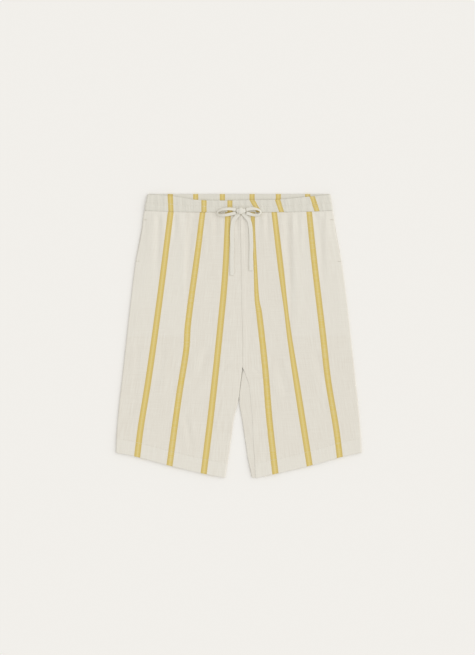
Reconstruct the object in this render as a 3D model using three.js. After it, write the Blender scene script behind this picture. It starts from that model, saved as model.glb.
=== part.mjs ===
// Pull-on bermuda shorts laid flat on a table and seen from above: two leg fronts on two leg backs,
// an elasticated waistband gathered all round, a pocket bag inside each side seam, turned-up hems
// and a narrow drawstring tied in a small bow.
//
// Millimetres. +X is to the right, +Y towards the waist, +Z up from the table, which is z = 0.
// The origin is under the middle of the shorts. Left and right are as seen from above.

import * as THREE from "three";
import { mergeVertices } from "three/addons/utils/BufferGeometryUtils.js";

// Driving sizes
const LENGTH = 567; // from the waist edge to the lowest hem corner
const CLOTH = 1; // one layer of the woven cloth
const SEAM_GAP = 0.3; // between two pieces at a seam
const BAND = 3; // waistband casing with the elastic inside it
const BAND_CLEARANCE = 0.6; // between the back and the front of the waistband
const HEM_TURN = 28; // height of the turned-up hem
const HEM_RADIUS = (CLOTH + SEAM_GAP) / 2; // middle of the cloth where the hem turns
const LEG_HEIGHT = 3.4; // middle of the front cloth over the table, along the leg
const HEM_HEIGHT = CLOTH / 2 + 3 * (CLOTH + SEAM_GAP); // the same over the four layers of the hem
const WAIST_HEIGHT = 4.6; // the same at the waist seam
const WAIST_PUFF = 0.9; // how much the gathered front swells below the waist seam
const TAPE_WIDTH = 8;
const TAPE_THICKNESS = 1.6;
const LOOP_WIDTH = 6; // the tape is squeezed where it goes through the knot
const LOOP_THICKNESS = 2.4;

// Distances down from the waist edge
const CROTCH_DROP = 344;
const CROTCH_TURN = 12; // length over which the legs' inner edges close below the crotch
const POCKET = { top: 40, bottom: 282, innerX: 109, corner: 26, sideMargin: 3.4, imprint: 0.5 };

// Outline of the two legs at a few heights: x of the side seams and of the legs' inner edges.
// rolled is how far the right leg's back lies over its front along the inner edge.
const SECTIONS = [
  { drop: 0, leftOuter: -182.5, leftInner: 3.5, rightInner: 3.5, rightOuter: 183, rolled: 0 },
  { drop: 34, leftOuter: -189.1, leftInner: 3.5, rightInner: 3.5, rightOuter: 188.1, rolled: 0 },
  { drop: 72, leftOuter: -194.5, leftInner: 3.7, rightInner: 3.7, rightOuter: 193.9, rolled: 0 },
  { drop: 132, leftOuter: -205.5, leftInner: 4.5, rightInner: 4.5, rightOuter: 204.8, rolled: 0 },
  { drop: 212, leftOuter: -215.5, leftInner: 5.7, rightInner: 5.7, rightOuter: 215.5, rolled: 0 },
  { drop: 292, leftOuter: -224.5, leftInner: 8.0, rightInner: 8.0, rightOuter: 224.5, rolled: 0 },
  { drop: 344, leftOuter: -230.0, leftInner: 7.5, rightInner: 7.5, rightOuter: 230.0, rolled: 1 },
  { drop: 380, leftOuter: -234.2, leftInner: 3.5, rightInner: 3.5, rightOuter: 233.9, rolled: 16 },
  { drop: 412, leftOuter: -238.0, leftInner: -0.6, rightInner: 0.4, rightOuter: 237.6, rolled: 23 },
  { drop: 452, leftOuter: -242.0, leftInner: -10.1, rightInner: 6.5, rightOuter: 241.2, rolled: 20.5 },
  { drop: 492, leftOuter: -244.6, leftInner: -15.5, rightInner: 12.5, rightOuter: 244.4, rolled: 16 },
  { drop: 532, leftOuter: -246.0, leftInner: -21.5, rightInner: 18.5, rightOuter: 246.5, rolled: 13 },
  { drop: 567, leftOuter: -247.0, leftInner: -26.8, rightInner: 26.0, rightOuter: 248.0, rolled: 7 },
];

// Waist seam and hem across one leg, from the side seam (0) to the middle (1)
const SEAM_LINE = [
  { across: 0, drop: 33.5 },
  { across: 0.3, drop: 36 },
  { across: 1, drop: 37 },
];
const HEM_LINE = [
  { across: 0, drop: 517.5 },
  { across: 0.15, drop: 524 },
  { across: 0.45, drop: 541.5 },
  { across: 0.72, drop: 555.5 },
  { across: 0.9, drop: 563.5 },
  { across: 1, drop: 567 },
];

// Top edge of the waistband's front, which hangs a little below its back
const BAND_TOP_FRONT = [
  { x: -190, drop: 1 },
  { x: -137, drop: 4 },
  { x: -85, drop: 12 },
  { x: -30, drop: 13.4 },
  { x: 27, drop: 12.4 },
  { x: 79, drop: 11.4 },
  { x: 137, drop: 6 },
  { x: 190, drop: 1 },
];
const BAND_TOP_BACK = 0.5;

// Soft folds of the fronts: the trough's line from its upper to its lower end, with its half width
const FOLDS = [
  { topX: -159, topDrop: 38, endX: -166, endDrop: 200, width: 6.5, depth: 1.3 },
  { topX: -95, topDrop: 38, endX: -104, endDrop: 210, width: 7, depth: 1.2 },
  { topX: -43, topDrop: 38, endX: -47, endDrop: 110, width: 5, depth: 0.9 },
  { topX: 56, topDrop: 38, endX: 60, endDrop: 120, width: 5, depth: 0.8 },
  { topX: 94, topDrop: 38, endX: 110, endDrop: 290, width: 7.5, depth: 1.4 },
  { topX: 160, topDrop: 38, endX: 171, endDrop: 210, width: 6.5, depth: 1.2 },
  { topX: -108, topDrop: 440, endX: -90, endDrop: 532, width: 6, depth: 0.8 },
  { topX: -60, topDrop: 300, endX: -96, endDrop: 420, width: 9, depth: 0.7 },
  { topX: 78, topDrop: 330, endX: 104, endDrop: 450, width: 9, depth: 0.7 },
];

// Small gathers below the waistband, about one in 17 mm, and puckers of the waistband itself
const GATHER = { pitch: 17, height: 0.75, fullFrom: 8, fadeFrom: 14, fadeTo: 80 };
const PUCKER = { pitch: 15, height: 0.35 };

// Routes of the tapes, chosen by eye: x and y on the table, and how far each point is lifted
const KNOT = { x: 4.5, y: 249, length: 19, width: 12, height: 7 };
const LEFT_END = [
  { x: -1.5, y: 241.6, lift: 0.1 },
  { x: -6, y: 236.5, lift: 0.3 },
  { x: -10.6, y: 229.5, lift: 0 },
  { x: -12.9, y: 218, lift: 0 },
  { x: -13.8, y: 200, lift: 0 },
  { x: -13.2, y: 178, lift: 0 },
  { x: -13.7, y: 152, lift: 0 },
  { x: -13.4, y: 121, lift: 0 },
];
const RIGHT_END = [
  { x: 10.5, y: 241.6, lift: 0.1 },
  { x: 15.4, y: 236.5, lift: 0.3 },
  { x: 20.4, y: 229.5, lift: 0 },
  { x: 23.3, y: 218, lift: 0 },
  { x: 24.4, y: 200, lift: 0 },
  { x: 25.1, y: 180, lift: 0 },
  { x: 24.6, y: 156, lift: 0 },
  { x: 24.5, y: 130, lift: 0 },
];
const LEFT_LOOP = [
  { x: -6, y: 251.2, lift: 2.4 },
  { x: -14, y: 252.8, lift: 2.6 },
  { x: -24, y: 253, lift: 2.4 },
  { x: -34, y: 251.6, lift: 1.6 },
  { x: -41, y: 248.4, lift: 0.6 },
  { x: -43.4, y: 244.2, lift: 0.2 },
  { x: -40.4, y: 240.6, lift: 0.3 },
  { x: -33, y: 239.8, lift: 0.8 },
  { x: -22, y: 241.4, lift: 1.8 },
  { x: -13, y: 243.4, lift: 2.3 },
  { x: -6.2, y: 244.6, lift: 2.4 },
];
const RIGHT_LOOP = [
  { x: 15, y: 251.2, lift: 2.4 },
  { x: 22, y: 252.8, lift: 2.5 },
  { x: 31, y: 253.4, lift: 2 },
  { x: 39, y: 251.6, lift: 1 },
  { x: 43.8, y: 247.8, lift: 0.4 },
  { x: 43, y: 243.6, lift: 0.3 },
  { x: 38, y: 240.8, lift: 0.6 },
  { x: 30, y: 240.8, lift: 1.6 },
  { x: 22, y: 242.8, lift: 2.3 },
  { x: 15.2, y: 244.6, lift: 2.4 },
];

const COLOURS = { cloth: "#e0dbd0", band: "#dad6ca", bag: "#e6e2d8", tape: "#e4e0d6" };

const UP = new THREE.Vector3(0, 0, 1);
const { clamp, lerp, smoothstep } = THREE.MathUtils;

// A smooth function through one column of a table, read by another column
function through(table, from, column) {
  const slope = (i) => {
    const a = table[Math.max(i - 1, 0)];
    const b = table[Math.min(i + 1, table.length - 1)];
    return (b[column] - a[column]) / (b[from] - a[from]);
  };
  return (value) => {
    let i = 0;
    while (i < table.length - 2 && value > table[i + 1][from]) i += 1;
    const a = table[i];
    const b = table[i + 1];
    const span = b[from] - a[from];
    const t = clamp((value - a[from]) / span, 0, 1);
    const rise = b[column] - a[column];
    const bendA = slope(i) * span - rise;
    const bendB = rise - slope(i + 1) * span;
    return a[column] + t * rise + t * (1 - t) * (bendA * (1 - t) + bendB * t);
  };
}

const outline = {
  leftOuter: through(SECTIONS, "drop", "leftOuter"),
  leftInner: through(SECTIONS, "drop", "leftInner"),
  rightInner: through(SECTIONS, "drop", "rightInner"),
  rightOuter: through(SECTIONS, "drop", "rightOuter"),
  rolled: through(SECTIONS, "drop", "rolled"),
};
const seamDrop = through(SEAM_LINE, "across", "drop");
const hemDrop = through(HEM_LINE, "across", "drop");
const bandTopFront = through(BAND_TOP_FRONT, "x", "drop");
const dropToY = (drop) => LENGTH / 2 - drop;
const yToDrop = (y) => LENGTH / 2 - y;

// Height of the flattened leg along its edges: swollen at the waist, low on the leg, four layers
// thick at the hem
function edgeHeight(belowSeam, aboveHem) {
  const waist = (WAIST_HEIGHT - LEG_HEIGHT) * (1 - smoothstep(belowSeam, 20, 130));
  const hem = (HEM_HEIGHT - LEG_HEIGHT) * (1 - smoothstep(aboveHem, HEM_TURN + 2, HEM_TURN + 34));
  return LEG_HEIGHT + waist + hem;
}

function foldHeight(x, drop) {
  let height = 0;
  for (const fold of FOLDS) {
    const t = (drop - fold.topDrop) / (fold.endDrop - fold.topDrop);
    if (t <= 0 || t >= 1) continue;
    const q = (x - lerp(fold.topX, fold.endX, t)) / fold.width;
    const reach = smoothstep(t, 0, 0.1) * (1 - smoothstep(t, 0.35, 1));
    height -= fold.depth * reach * (1 - q * q) * Math.exp((-q * q) / 2);
  }
  return height;
}

function gatherHeight(x, belowSeam) {
  const phase = x / GATHER.pitch + 0.3 * Math.sin(x / 31);
  const uneven = 0.7 + 0.3 * Math.sin(x / 19 + 1);
  const rise = smoothstep(belowSeam, 0, GATHER.fullFrom);
  const fade = 1 - smoothstep(belowSeam, GATHER.fadeFrom, GATHER.fadeTo * uneven);
  return GATHER.height * uneven * rise * fade * Math.sin(2 * Math.PI * phase);
}

// How far the pocket bag inside lifts the front, from 0 beside it to 1 on it
function pocketLift(x, drop) {
  const inner = smoothstep(Math.abs(x), POCKET.innerX - 6, POCKET.innerX - 1);
  const above = 1 - smoothstep(drop, POCKET.bottom + 1, POCKET.bottom + 8);
  return Math.min(inner, above);
}

// Middle of the front cloth at a point of the table, away from its rounded edges
function frontHeight(x, drop, belowSeam, aboveHem, fromEdge) {
  const edge = edgeHeight(belowSeam, aboveHem);
  const free = smoothstep(fromEdge, 0, 14) * smoothstep(aboveHem, HEM_TURN, HEM_TURN + 20);
  const puff = WAIST_PUFF * smoothstep(belowSeam, 0, 10) * (1 - smoothstep(belowSeam, 25, 90));
  const relief = foldHeight(x, drop) + gatherHeight(x, belowSeam) + puff;
  const inside = pocketLift(x, drop);
  const lowest = CLOTH * 1.5 + SEAM_GAP + 0.2 + inside * (CLOTH + SEAM_GAP);
  return Math.max(edge + free * (relief + inside * POCKET.imprint), lowest);
}

// Sides of a piece: the left leg grows to the right from its side seam, and the right leg to the left
const LEFT = { outer: outline.leftOuter, inner: outline.leftInner, inward: 1, rolled: () => 0 };
const RIGHT = {
  outer: outline.rightOuter,
  inner: outline.rightInner,
  inward: -1,
  rolled: outline.rolled,
};

// Shares of a row of points that go to the rounded side seam and to the stretch at the inner edge
const OUTER_SHARE = 0.05;
const INNER_SHARE = 0.1;
const INNER_FLAT = 10; // flat stretch kept before the inner edge turns

// One place on a leg's flattened tube. u runs along the cloth from the side seam (0) to the inner
// edge (1), drop is the distance below the waist edge. The back's cloth lies on the table and the
// front's on the back; along both edges they turn towards each other.
function sectionPoint(leg, isFront, u, drop, seam, hem) {
  const belowSeam = drop - seam;
  const aboveHem = hem - drop;
  const top = edgeHeight(belowSeam, aboveHem);
  const radius = (top - CLOTH / 2) / 2;
  const gapAngle = SEAM_GAP / 2 / radius;
  const quarter = Math.PI / 2;
  const centreZ = CLOTH / 2 + radius;
  const side = isFront ? 1 : -1;
  const outerX = leg.outer(drop) + (leg.inward * CLOTH) / 2;
  if (u < OUTER_SHARE) {
    const angle = lerp(gapAngle, quarter, u / OUTER_SHARE);
    const x = outerX + leg.inward * radius * (1 - Math.cos(angle));
    return { x, z: centreZ + side * radius * Math.sin(angle) };
  }
  const turned = smoothstep(drop, CROTCH_DROP, CROTCH_DROP + CROTCH_TURN);
  const rolled = leg.rolled(drop);
  const isRolled = leg === RIGHT;
  const wall = SEAM_GAP / 2 + (CLOTH / 2) * turned;
  let innerX = leg.inner(drop) - leg.inward * wall;
  let turn = turned * (quarter - gapAngle);
  let strip = 0;
  if (isRolled && isFront) {
    innerX = leg.inner(drop) - leg.inward * (SEAM_GAP / 2 + turned * (rolled + SEAM_GAP / 2));
    turn = 0;
  } else if (isRolled) {
    turn = turned * Math.PI;
    strip = turned * Math.max(rolled - radius - CLOTH / 2, 0);
  }
  const flatEndX = innerX - leg.inward * radius * Math.sin(Math.min(turn, quarter));
  const length = INNER_FLAT + radius * turn + strip;
  const stretchStartX = flatEndX - leg.inward * INNER_FLAT;
  const along = length * Math.max((u - (1 - INNER_SHARE)) / INNER_SHARE, 0);
  let x;
  let away = 0; // how far the turned edge has left the level of its layer
  if (u <= 1 - INNER_SHARE) {
    const t = (u - OUTER_SHARE) / (1 - INNER_SHARE - OUTER_SHARE);
    x = lerp(outerX + leg.inward * radius, stretchStartX, t);
  } else if (along < INNER_FLAT) {
    x = stretchStartX + leg.inward * along;
  } else if (along < INNER_FLAT + radius * turn) {
    const angle = (along - INNER_FLAT) / radius;
    x = flatEndX + leg.inward * radius * Math.sin(angle);
    away = radius * (1 - Math.cos(angle));
  } else {
    x = flatEndX + leg.inward * radius * Math.sin(turn);
    x -= leg.inward * (along - INNER_FLAT - radius * turn);
    away = radius * (1 - Math.cos(turn));
  }
  if (!isFront) return { x, z: CLOTH / 2 + away };
  const fromOuter = Math.abs(x - outerX) - radius;
  const fromInner = Math.abs(innerX - x) - radius;
  const kept = smoothstep(drop, CROTCH_DROP - 40, CROTCH_DROP);
  const fromEdge = Math.min(fromOuter, lerp(Math.max(fromInner, 14), fromInner, kept));
  return { x, z: frontHeight(x, drop, belowSeam, aboveHem, Math.max(fromEdge, 0)) - away };
}

// Middle of a leg panel's cloth. v runs from the waist seam (0) to the top of the hem (1) and the
// hem's fold (2), turns inwards (to 3) and goes back up inside the hem (to 4).
function panelPoint(leg, isFront, u, v) {
  const across = clamp((u - OUTER_SHARE) / (1 - OUTER_SHARE - INNER_SHARE / 2), 0, 1);
  const seam = seamDrop(across);
  const hem = hemDrop(across);
  const start = seam + SEAM_GAP / 2;
  let drop = lerp(start, hem - HEM_TURN, Math.min(v, 1));
  let inwards = 0;
  if (v > 1) drop = lerp(hem - HEM_TURN, hem - HEM_RADIUS, Math.min(v - 1, 1));
  if (v > 2) {
    const angle = Math.PI * Math.min(v - 2, 1);
    drop = hem - HEM_RADIUS + HEM_RADIUS * Math.sin(angle);
    inwards = HEM_RADIUS * (1 - Math.cos(angle));
  }
  if (v > 3) drop = lerp(hem - HEM_RADIUS, hem - HEM_TURN + 1, v - 3);
  const here = sectionPoint(leg, isFront, u, drop, seam, hem);
  if (inwards > 0) {
    const step = 1e-4;
    const a = sectionPoint(leg, isFront, Math.max(u - step, 0), drop, seam, hem);
    const b = sectionPoint(leg, isFront, Math.min(u + step, 1), drop, seam, hem);
    const length = Math.hypot(b.x - a.x, b.z - a.z);
    const side = (isFront ? -1 : 1) * leg.inward;
    here.x += (side * inwards * -(b.z - a.z)) / length;
    here.z += (side * inwards * (b.x - a.x)) / length;
  }
  return new THREE.Vector3(here.x, dropToY(drop), here.z);
}

// Middle of the waistband. u runs round it: along the back, up the right fold, along the front and
// down the left fold. v runs from the waist seam (0) to the top edge (1).
const BAND_TURNS = { backEnd: 0.3, frontStart: 0.35, frontEnd: 0.95 };
function bandPoint(u, v) {
  const radius = (BAND + BAND_CLEARANCE) / 2;
  const sideDrop = lerp(seamDrop(0), BAND_TOP_BACK, v);
  const leftX = outline.leftOuter(sideDrop) + BAND / 2 + radius;
  const rightX = outline.rightOuter(sideDrop) - BAND / 2 - radius;
  let x;
  let front; // 0 on the back, 1 on the front
  let out = 0;
  let z;
  if (u < BAND_TURNS.backEnd) {
    x = lerp(leftX, rightX, u / BAND_TURNS.backEnd);
    front = 0;
  } else if (u < BAND_TURNS.frontStart) {
    const t = (u - BAND_TURNS.backEnd) / (BAND_TURNS.frontStart - BAND_TURNS.backEnd);
    x = rightX;
    front = t;
    out = radius * Math.sin(Math.PI * t);
  } else if (u < BAND_TURNS.frontEnd) {
    const t = (u - BAND_TURNS.frontStart) / (BAND_TURNS.frontEnd - BAND_TURNS.frontStart);
    x = lerp(rightX, leftX, t);
    front = 1;
  } else {
    const t = (u - BAND_TURNS.frontEnd) / (1 - BAND_TURNS.frontEnd);
    x = leftX;
    front = 1 - t;
    out = -radius * Math.sin(Math.PI * t);
  }
  z = BAND / 2 + radius * (1 - Math.cos(Math.PI * front));
  if (front === 1) {
    const fromFold = Math.min(x - leftX, rightX - x);
    const wave = Math.sin((2 * Math.PI * x) / PUCKER.pitch + 1.5 * Math.sin(x / 27));
    z += PUCKER.height * smoothstep(fromFold, 0, 12) * Math.max(wave, -0.5);
  }
  const half = outline.rightInner(seamDrop(1));
  const across = x < half ? (half - x) / (half - leftX) : (x - half) / (rightX - half);
  const bottom = seamDrop(clamp(1 - across, 0, 1)) - SEAM_GAP / 2;
  const top = lerp(BAND_TOP_BACK, bandTopFront(x), front);
  return new THREE.Vector3(x + out, dropToY(lerp(bottom, top, v)), z);
}

// A wall of even thickness about a surface given by its middle. Each row has its own v and its own
// list of u; rows may have different counts. A looped row meets itself.
function wall({ point, rows, half = () => CLOTH / 2, loop = false }) {
  const step = 1e-4;
  const positions = [];
  const faces = [];
  const lastV = rows.at(-1).v;
  const normalAt = (u, v) => {
    const before = loop ? (u - step + 1) % 1 : Math.max(u - step, 0);
    const after = loop ? (u + step) % 1 : Math.min(u + step, 1);
    const alongU = point(after, v).sub(point(before, v));
    const alongV = point(u, Math.min(v + step, lastV)).sub(point(u, Math.max(v - step, 0)));
    return alongU.cross(alongV).normalize();
  };
  const outside = [];
  const inside = [];
  for (const row of rows) {
    const near = [];
    const far = [];
    for (const u of row.us) {
      const middle = point(u, row.v);
      const offset = normalAt(u, row.v).multiplyScalar(half(row.v));
      for (const [list, way] of [[near, 1], [far, -1]]) {
        list.push({ u, id: positions.length / 3 });
        positions.push(...middle.clone().addScaledVector(offset, way).toArray());
      }
    }
    if (loop) {
      near.push({ u: 1, id: near[0].id });
      far.push({ u: 1, id: far[0].id });
    }
    outside.push(near);
    inside.push(far);
  }
  const strip = (a, b, way) => {
    let i = 0;
    let j = 0;
    while (i < a.length - 1 || j < b.length - 1) {
      const stepA = j === b.length - 1 || (i < a.length - 1 && a[i + 1].u <= b[j + 1].u);
      const third = stepA ? a[i + 1].id : b[j + 1].id;
      faces.push(way > 0 ? [a[i].id, b[j].id, third] : [b[j].id, a[i].id, third]);
      if (stepA) i += 1;
      else j += 1;
    }
  };
  for (let i = 0; i < rows.length - 1; i += 1) {
    strip(outside[i], outside[i + 1], 1);
    strip(inside[i], inside[i + 1], -1);
  }
  strip(inside[0], outside[0], 1);
  strip(outside.at(-1), inside.at(-1), 1);
  if (!loop) {
    const column = (lists, pick) => lists.map((list, i) => ({ u: i, id: pick(list).id }));
    const first = (list) => list[0];
    const last = (list) => list.at(-1);
    strip(column(outside, first), column(inside, first), 1);
    strip(column(inside, last), column(outside, last), 1);
  }
  const geometry = new THREE.BufferGeometry();
  geometry.setAttribute("position", new THREE.Float32BufferAttribute(positions, 3));
  geometry.setIndex(faces.flat());
  return facingOut(geometry);
}

// The same geometry with merged points and its faces pointing out
function facingOut(geometry) {
  geometry.deleteAttribute("normal");
  geometry.deleteAttribute("uv");
  const merged = mergeVertices(geometry, 1e-4);
  const position = merged.getAttribute("position");
  const index = merged.index.array;
  const corner = (i) => new THREE.Vector3().fromBufferAttribute(position, index[i]);
  let volume = 0;
  for (let i = 0; i < index.length; i += 3) {
    volume += corner(i).dot(corner(i + 1).cross(corner(i + 2)));
  }
  if (volume < 0) index.reverse();
  merged.computeVertexNormals();
  return merged;
}

const spread = (count, from, to) =>
  Array.from({ length: count + 1 }, (_, i) => lerp(from, to, i / count));

// Points across a panel: the rounded side seam, the open middle, and the stretch at the inner edge
function panelColumns(edgeSteps, middleSteps, innerSteps) {
  const us = [
    ...spread(edgeSteps, 0, OUTER_SHARE),
    ...spread(middleSteps, OUTER_SHARE, 1 - INNER_SHARE).slice(1),
    ...innerSteps.map((step) => 1 - INNER_SHARE + INNER_SHARE * step),
  ];
  return us;
}

// Rows down a panel: below the gathers, closer together at the crotch, and round the hem. A front
// and its back share them, so that their edges run side by side.
const GATHERED_SHARE = 0.16;
const LEG_ROWS = [
  0.24, 0.32, 0.4, 0.48, 0.56, 0.62, 0.64, 0.66, 0.68, 0.71, 0.74, 0.78, 0.83, 0.89, 0.95, 1,
];
const HEM_ROWS = [1.5, 2, 2.34, 2.67, 3, 3.5, 4];
const SEAMED_EDGE = [0.45, 0.82, 0.88, 0.94, 1];
const ROLLED_EDGE = [0.25, 0.34, 0.38, 0.42, 0.46, 0.5, 0.75, 1];

function frontRows(innerSteps) {
  const fine = panelColumns(3, 36, innerSteps);
  const coarse = panelColumns(3, 18, innerSteps);
  const gathered = spread(7, 0, GATHERED_SHARE).map((v) => ({ v, us: fine }));
  return gathered.concat([...LEG_ROWS, ...HEM_ROWS].map((v) => ({ v, us: coarse })));
}

function backRows(innerSteps) {
  const us = panelColumns(3, 8, innerSteps);
  const upper = spread(2, 0, GATHERED_SHARE);
  return [...upper, ...LEG_ROWS, ...HEM_ROWS].map((v) => ({ v, us }));
}

// A leg panel's rows go round the hem with its inner cloth, so one list serves the whole panel
function panel(leg, isFront) {
  const edge = leg === RIGHT && !isFront ? ROLLED_EDGE : SEAMED_EDGE;
  const rows = isFront ? frontRows(edge) : backRows(edge);
  return wall({ point: (u, v) => panelPoint(leg, isFront, u, v), rows });
}

function waistband() {
  const { backEnd, frontStart, frontEnd } = BAND_TURNS;
  const us = [
    ...spread(12, 0, backEnd),
    ...spread(4, backEnd, frontStart).slice(1),
    ...spread(56, frontStart, frontEnd).slice(1),
    ...spread(4, frontEnd, 1).slice(1, -1),
  ];
  const softened = new Map([[0, 1.2], [0.15, 1.5], [0.5, 1.35], [0.85, 1.5], [1, 1.1]]);
  const rows = [...softened.keys()].map((v) => ({ v, us }));
  const half = (v) => (softened.get(v) * BAND) / 3;
  return wall({ point: bandPoint, rows, half, loop: true });
}

// A flat bag between the two layers of a leg, open along the side seam
function pocketBag(leg) {
  const shape = new THREE.Shape();
  const outerAt = (drop) => leg.outer(drop) + leg.inward * POCKET.sideMargin;
  const innerX = -leg.inward * POCKET.innerX;
  shape.moveTo(innerX, dropToY(POCKET.top));
  for (const drop of spread(6, POCKET.top, POCKET.bottom)) {
    shape.lineTo(outerAt(drop), dropToY(drop));
  }
  shape.lineTo(innerX - leg.inward * POCKET.corner, dropToY(POCKET.bottom));
  shape.quadraticCurveTo(
    innerX,
    dropToY(POCKET.bottom),
    innerX,
    dropToY(POCKET.bottom - POCKET.corner),
  );
  const geometry = new THREE.ExtrudeGeometry(shape, {
    depth: CLOTH,
    bevelEnabled: false,
    curveSegments: 6,
  });
  geometry.translate(0, 0, CLOTH + SEAM_GAP);
  return facingOut(geometry);
}

// Highest point of the cloth that a tape of this width rests on, at one place of the table
function restingHeight(x, y, width) {
  const drop = yToDrop(y);
  const seam = seamDrop(1);
  if (drop < seam + 4) return BAND * 2 + BAND_CLEARANCE + PUCKER.height;
  let highest = 0;
  for (const dx of spread(8, -width / 2 - 4, width / 2 + 4)) {
    for (const dy of [-5, 0, 5]) {
      const belowSeam = Math.max(drop + dy - seam, 0);
      const z = frontHeight(x + dx, drop + dy, belowSeam, Infinity, Infinity) + CLOTH / 2;
      highest = Math.max(highest, z);
    }
  }
  return highest;
}

// A tape's route keeps its flat side up
class TapeRoute extends THREE.CatmullRomCurve3 {
  computeFrenetFrames(steps) {
    const frames = { tangents: [], normals: [], binormals: [] };
    for (let i = 0; i <= steps; i += 1) {
      const tangent = this.getTangentAt(i / steps);
      const binormal = new THREE.Vector3().crossVectors(tangent, UP).normalize();
      frames.tangents.push(tangent);
      frames.binormals.push(binormal);
      frames.normals.push(new THREE.Vector3().crossVectors(binormal, tangent).normalize());
    }
    return frames;
  }
}

function tape(route, width, thickness, steps) {
  const points = route.map(({ x, y, lift }) => {
    const z = restingHeight(x, y, width) + SEAM_GAP + thickness / 2 + lift;
    return new THREE.Vector3(x, y, z);
  });
  const section = new THREE.Shape();
  const [w, t] = [width / 2, thickness / 2];
  const corners = [[t, 0.7 * w], [0.45 * t, w], [-0.45 * t, w], [-t, 0.7 * w]];
  const outlinePoints = [...corners, ...corners.map(([a, b]) => [-a, -b])];
  section.setFromPoints(outlinePoints.map(([a, b]) => new THREE.Vector2(a, b)));
  return facingOut(
    new THREE.ExtrudeGeometry(section, { steps, extrudePath: new TapeRoute(points) }),
  );
}

// The knot is a short barrel of cloth, pinched where the tape wraps it
function knot() {
  const [r, h] = [KNOT.height / 2, KNOT.length / 2];
  const profile = [
    [0, -h], [r * 0.6, -h], [r * 0.9, -h * 0.6], [r * 0.8, -h * 0.32],
    [r, 0], [r * 0.8, h * 0.32], [r * 0.9, h * 0.6], [r * 0.6, h], [0, h],
  ];
  const geometry = new THREE.LatheGeometry(profile.map(([a, b]) => new THREE.Vector2(a, b)), 16);
  geometry.rotateZ(Math.PI / 2);
  geometry.scale(1, KNOT.width / KNOT.height, 1);
  const z = restingHeight(KNOT.x, KNOT.y, KNOT.width) + SEAM_GAP + KNOT.height / 2;
  geometry.translate(KNOT.x, KNOT.y, z);
  return facingOut(geometry);
}

const fabric = (name, colour) =>
  new THREE.MeshStandardMaterial({ name, color: colour, roughness: 0.9, metalness: 0 });
const materials = {
  cloth: fabric("striped cloth", COLOURS.cloth),
  band: fabric("waistband cloth", COLOURS.band),
  bag: fabric("pocket cloth", COLOURS.bag),
  tape: fabric("drawstring tape", COLOURS.tape),
};

const shorts = new THREE.Group();
function add(name, geometry, material) {
  const mesh = new THREE.Mesh(geometry, material);
  mesh.name = name;
  shorts.add(mesh);
}

for (const [side, leg] of [["left", LEFT], ["right", RIGHT]]) {
  add(`front_${side}`, panel(leg, true), materials.cloth);
  add(`back_${side}`, panel(leg, false), materials.cloth);
  add(`pocket_bag_${side}`, pocketBag(leg), materials.bag);
}
add("waistband", waistband(), materials.band);
add("drawstring_knot", knot(), materials.tape);
add("drawstring_loop_left", tape(LEFT_LOOP, LOOP_WIDTH, LOOP_THICKNESS, 24), materials.tape);
add("drawstring_loop_right", tape(RIGHT_LOOP, LOOP_WIDTH, LOOP_THICKNESS, 24), materials.tape);
add("drawstring_end_left", tape(LEFT_END, TAPE_WIDTH, TAPE_THICKNESS, 16), materials.tape);
add("drawstring_end_right", tape(RIGHT_END, TAPE_WIDTH, TAPE_THICKNESS, 16), materials.tape);

export default shorts;
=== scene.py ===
"""Pull-on bermuda shorts laid flat on a table, seen from straight above."""

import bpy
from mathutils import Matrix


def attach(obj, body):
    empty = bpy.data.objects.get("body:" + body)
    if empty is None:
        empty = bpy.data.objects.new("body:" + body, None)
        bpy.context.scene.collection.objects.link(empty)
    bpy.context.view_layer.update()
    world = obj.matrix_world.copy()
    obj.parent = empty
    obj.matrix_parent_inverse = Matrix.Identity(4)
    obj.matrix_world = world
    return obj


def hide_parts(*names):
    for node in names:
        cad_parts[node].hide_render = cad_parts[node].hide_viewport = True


bl_info = {
    "name": "Bermuda shorts laid flat",
    "version": (1, 0, 0),
    "blender": (4, 5, 0),
    "location": "3D View > Sidebar > Shorts",
    "description": "Dresses a pair of striped drawstring shorts in woven cloth, tape and stitching",
    "category": "Add Mesh",
}

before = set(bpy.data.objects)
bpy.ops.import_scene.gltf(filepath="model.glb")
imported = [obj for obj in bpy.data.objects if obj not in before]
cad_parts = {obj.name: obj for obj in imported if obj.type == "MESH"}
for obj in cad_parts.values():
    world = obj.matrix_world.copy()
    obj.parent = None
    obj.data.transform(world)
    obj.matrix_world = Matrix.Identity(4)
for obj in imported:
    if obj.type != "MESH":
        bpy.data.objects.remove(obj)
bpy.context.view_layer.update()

import math
from collections import namedtuple

import bpy
import numpy as np
from mathutils import Vector

# Metres throughout. +X is to the right, +Y towards the waist, +Z up from the table.
# Left and right are as seen from above.
MM = 0.001
LENGTH = 0.567
CLOTH = 0.001
SEAM_GAP = 0.0003
SHOWN_GAP = 0.00003
BAND = 0.003
BAND_CLEARANCE = 0.0006
HEM_TURN = 0.028
HEM_RADIUS = (CLOTH + SEAM_GAP) / 2
LEG_HEIGHT = 0.0034
HEM_HEIGHT = CLOTH / 2 + 3 * (CLOTH + SEAM_GAP)
WAIST_HEIGHT = 0.0046
WAIST_PUFF = 0.0009
CROTCH_DROP = 0.344
CROTCH_TURN = 0.012
POCKET_TOP = 0.040
POCKET_BOTTOM = 0.282
POCKET_INNER_X = 0.109
POCKET_CORNER = 0.026
POCKET_SIDE_MARGIN = 0.0034
POCKET_IMPRINT = 0.0006

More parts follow.
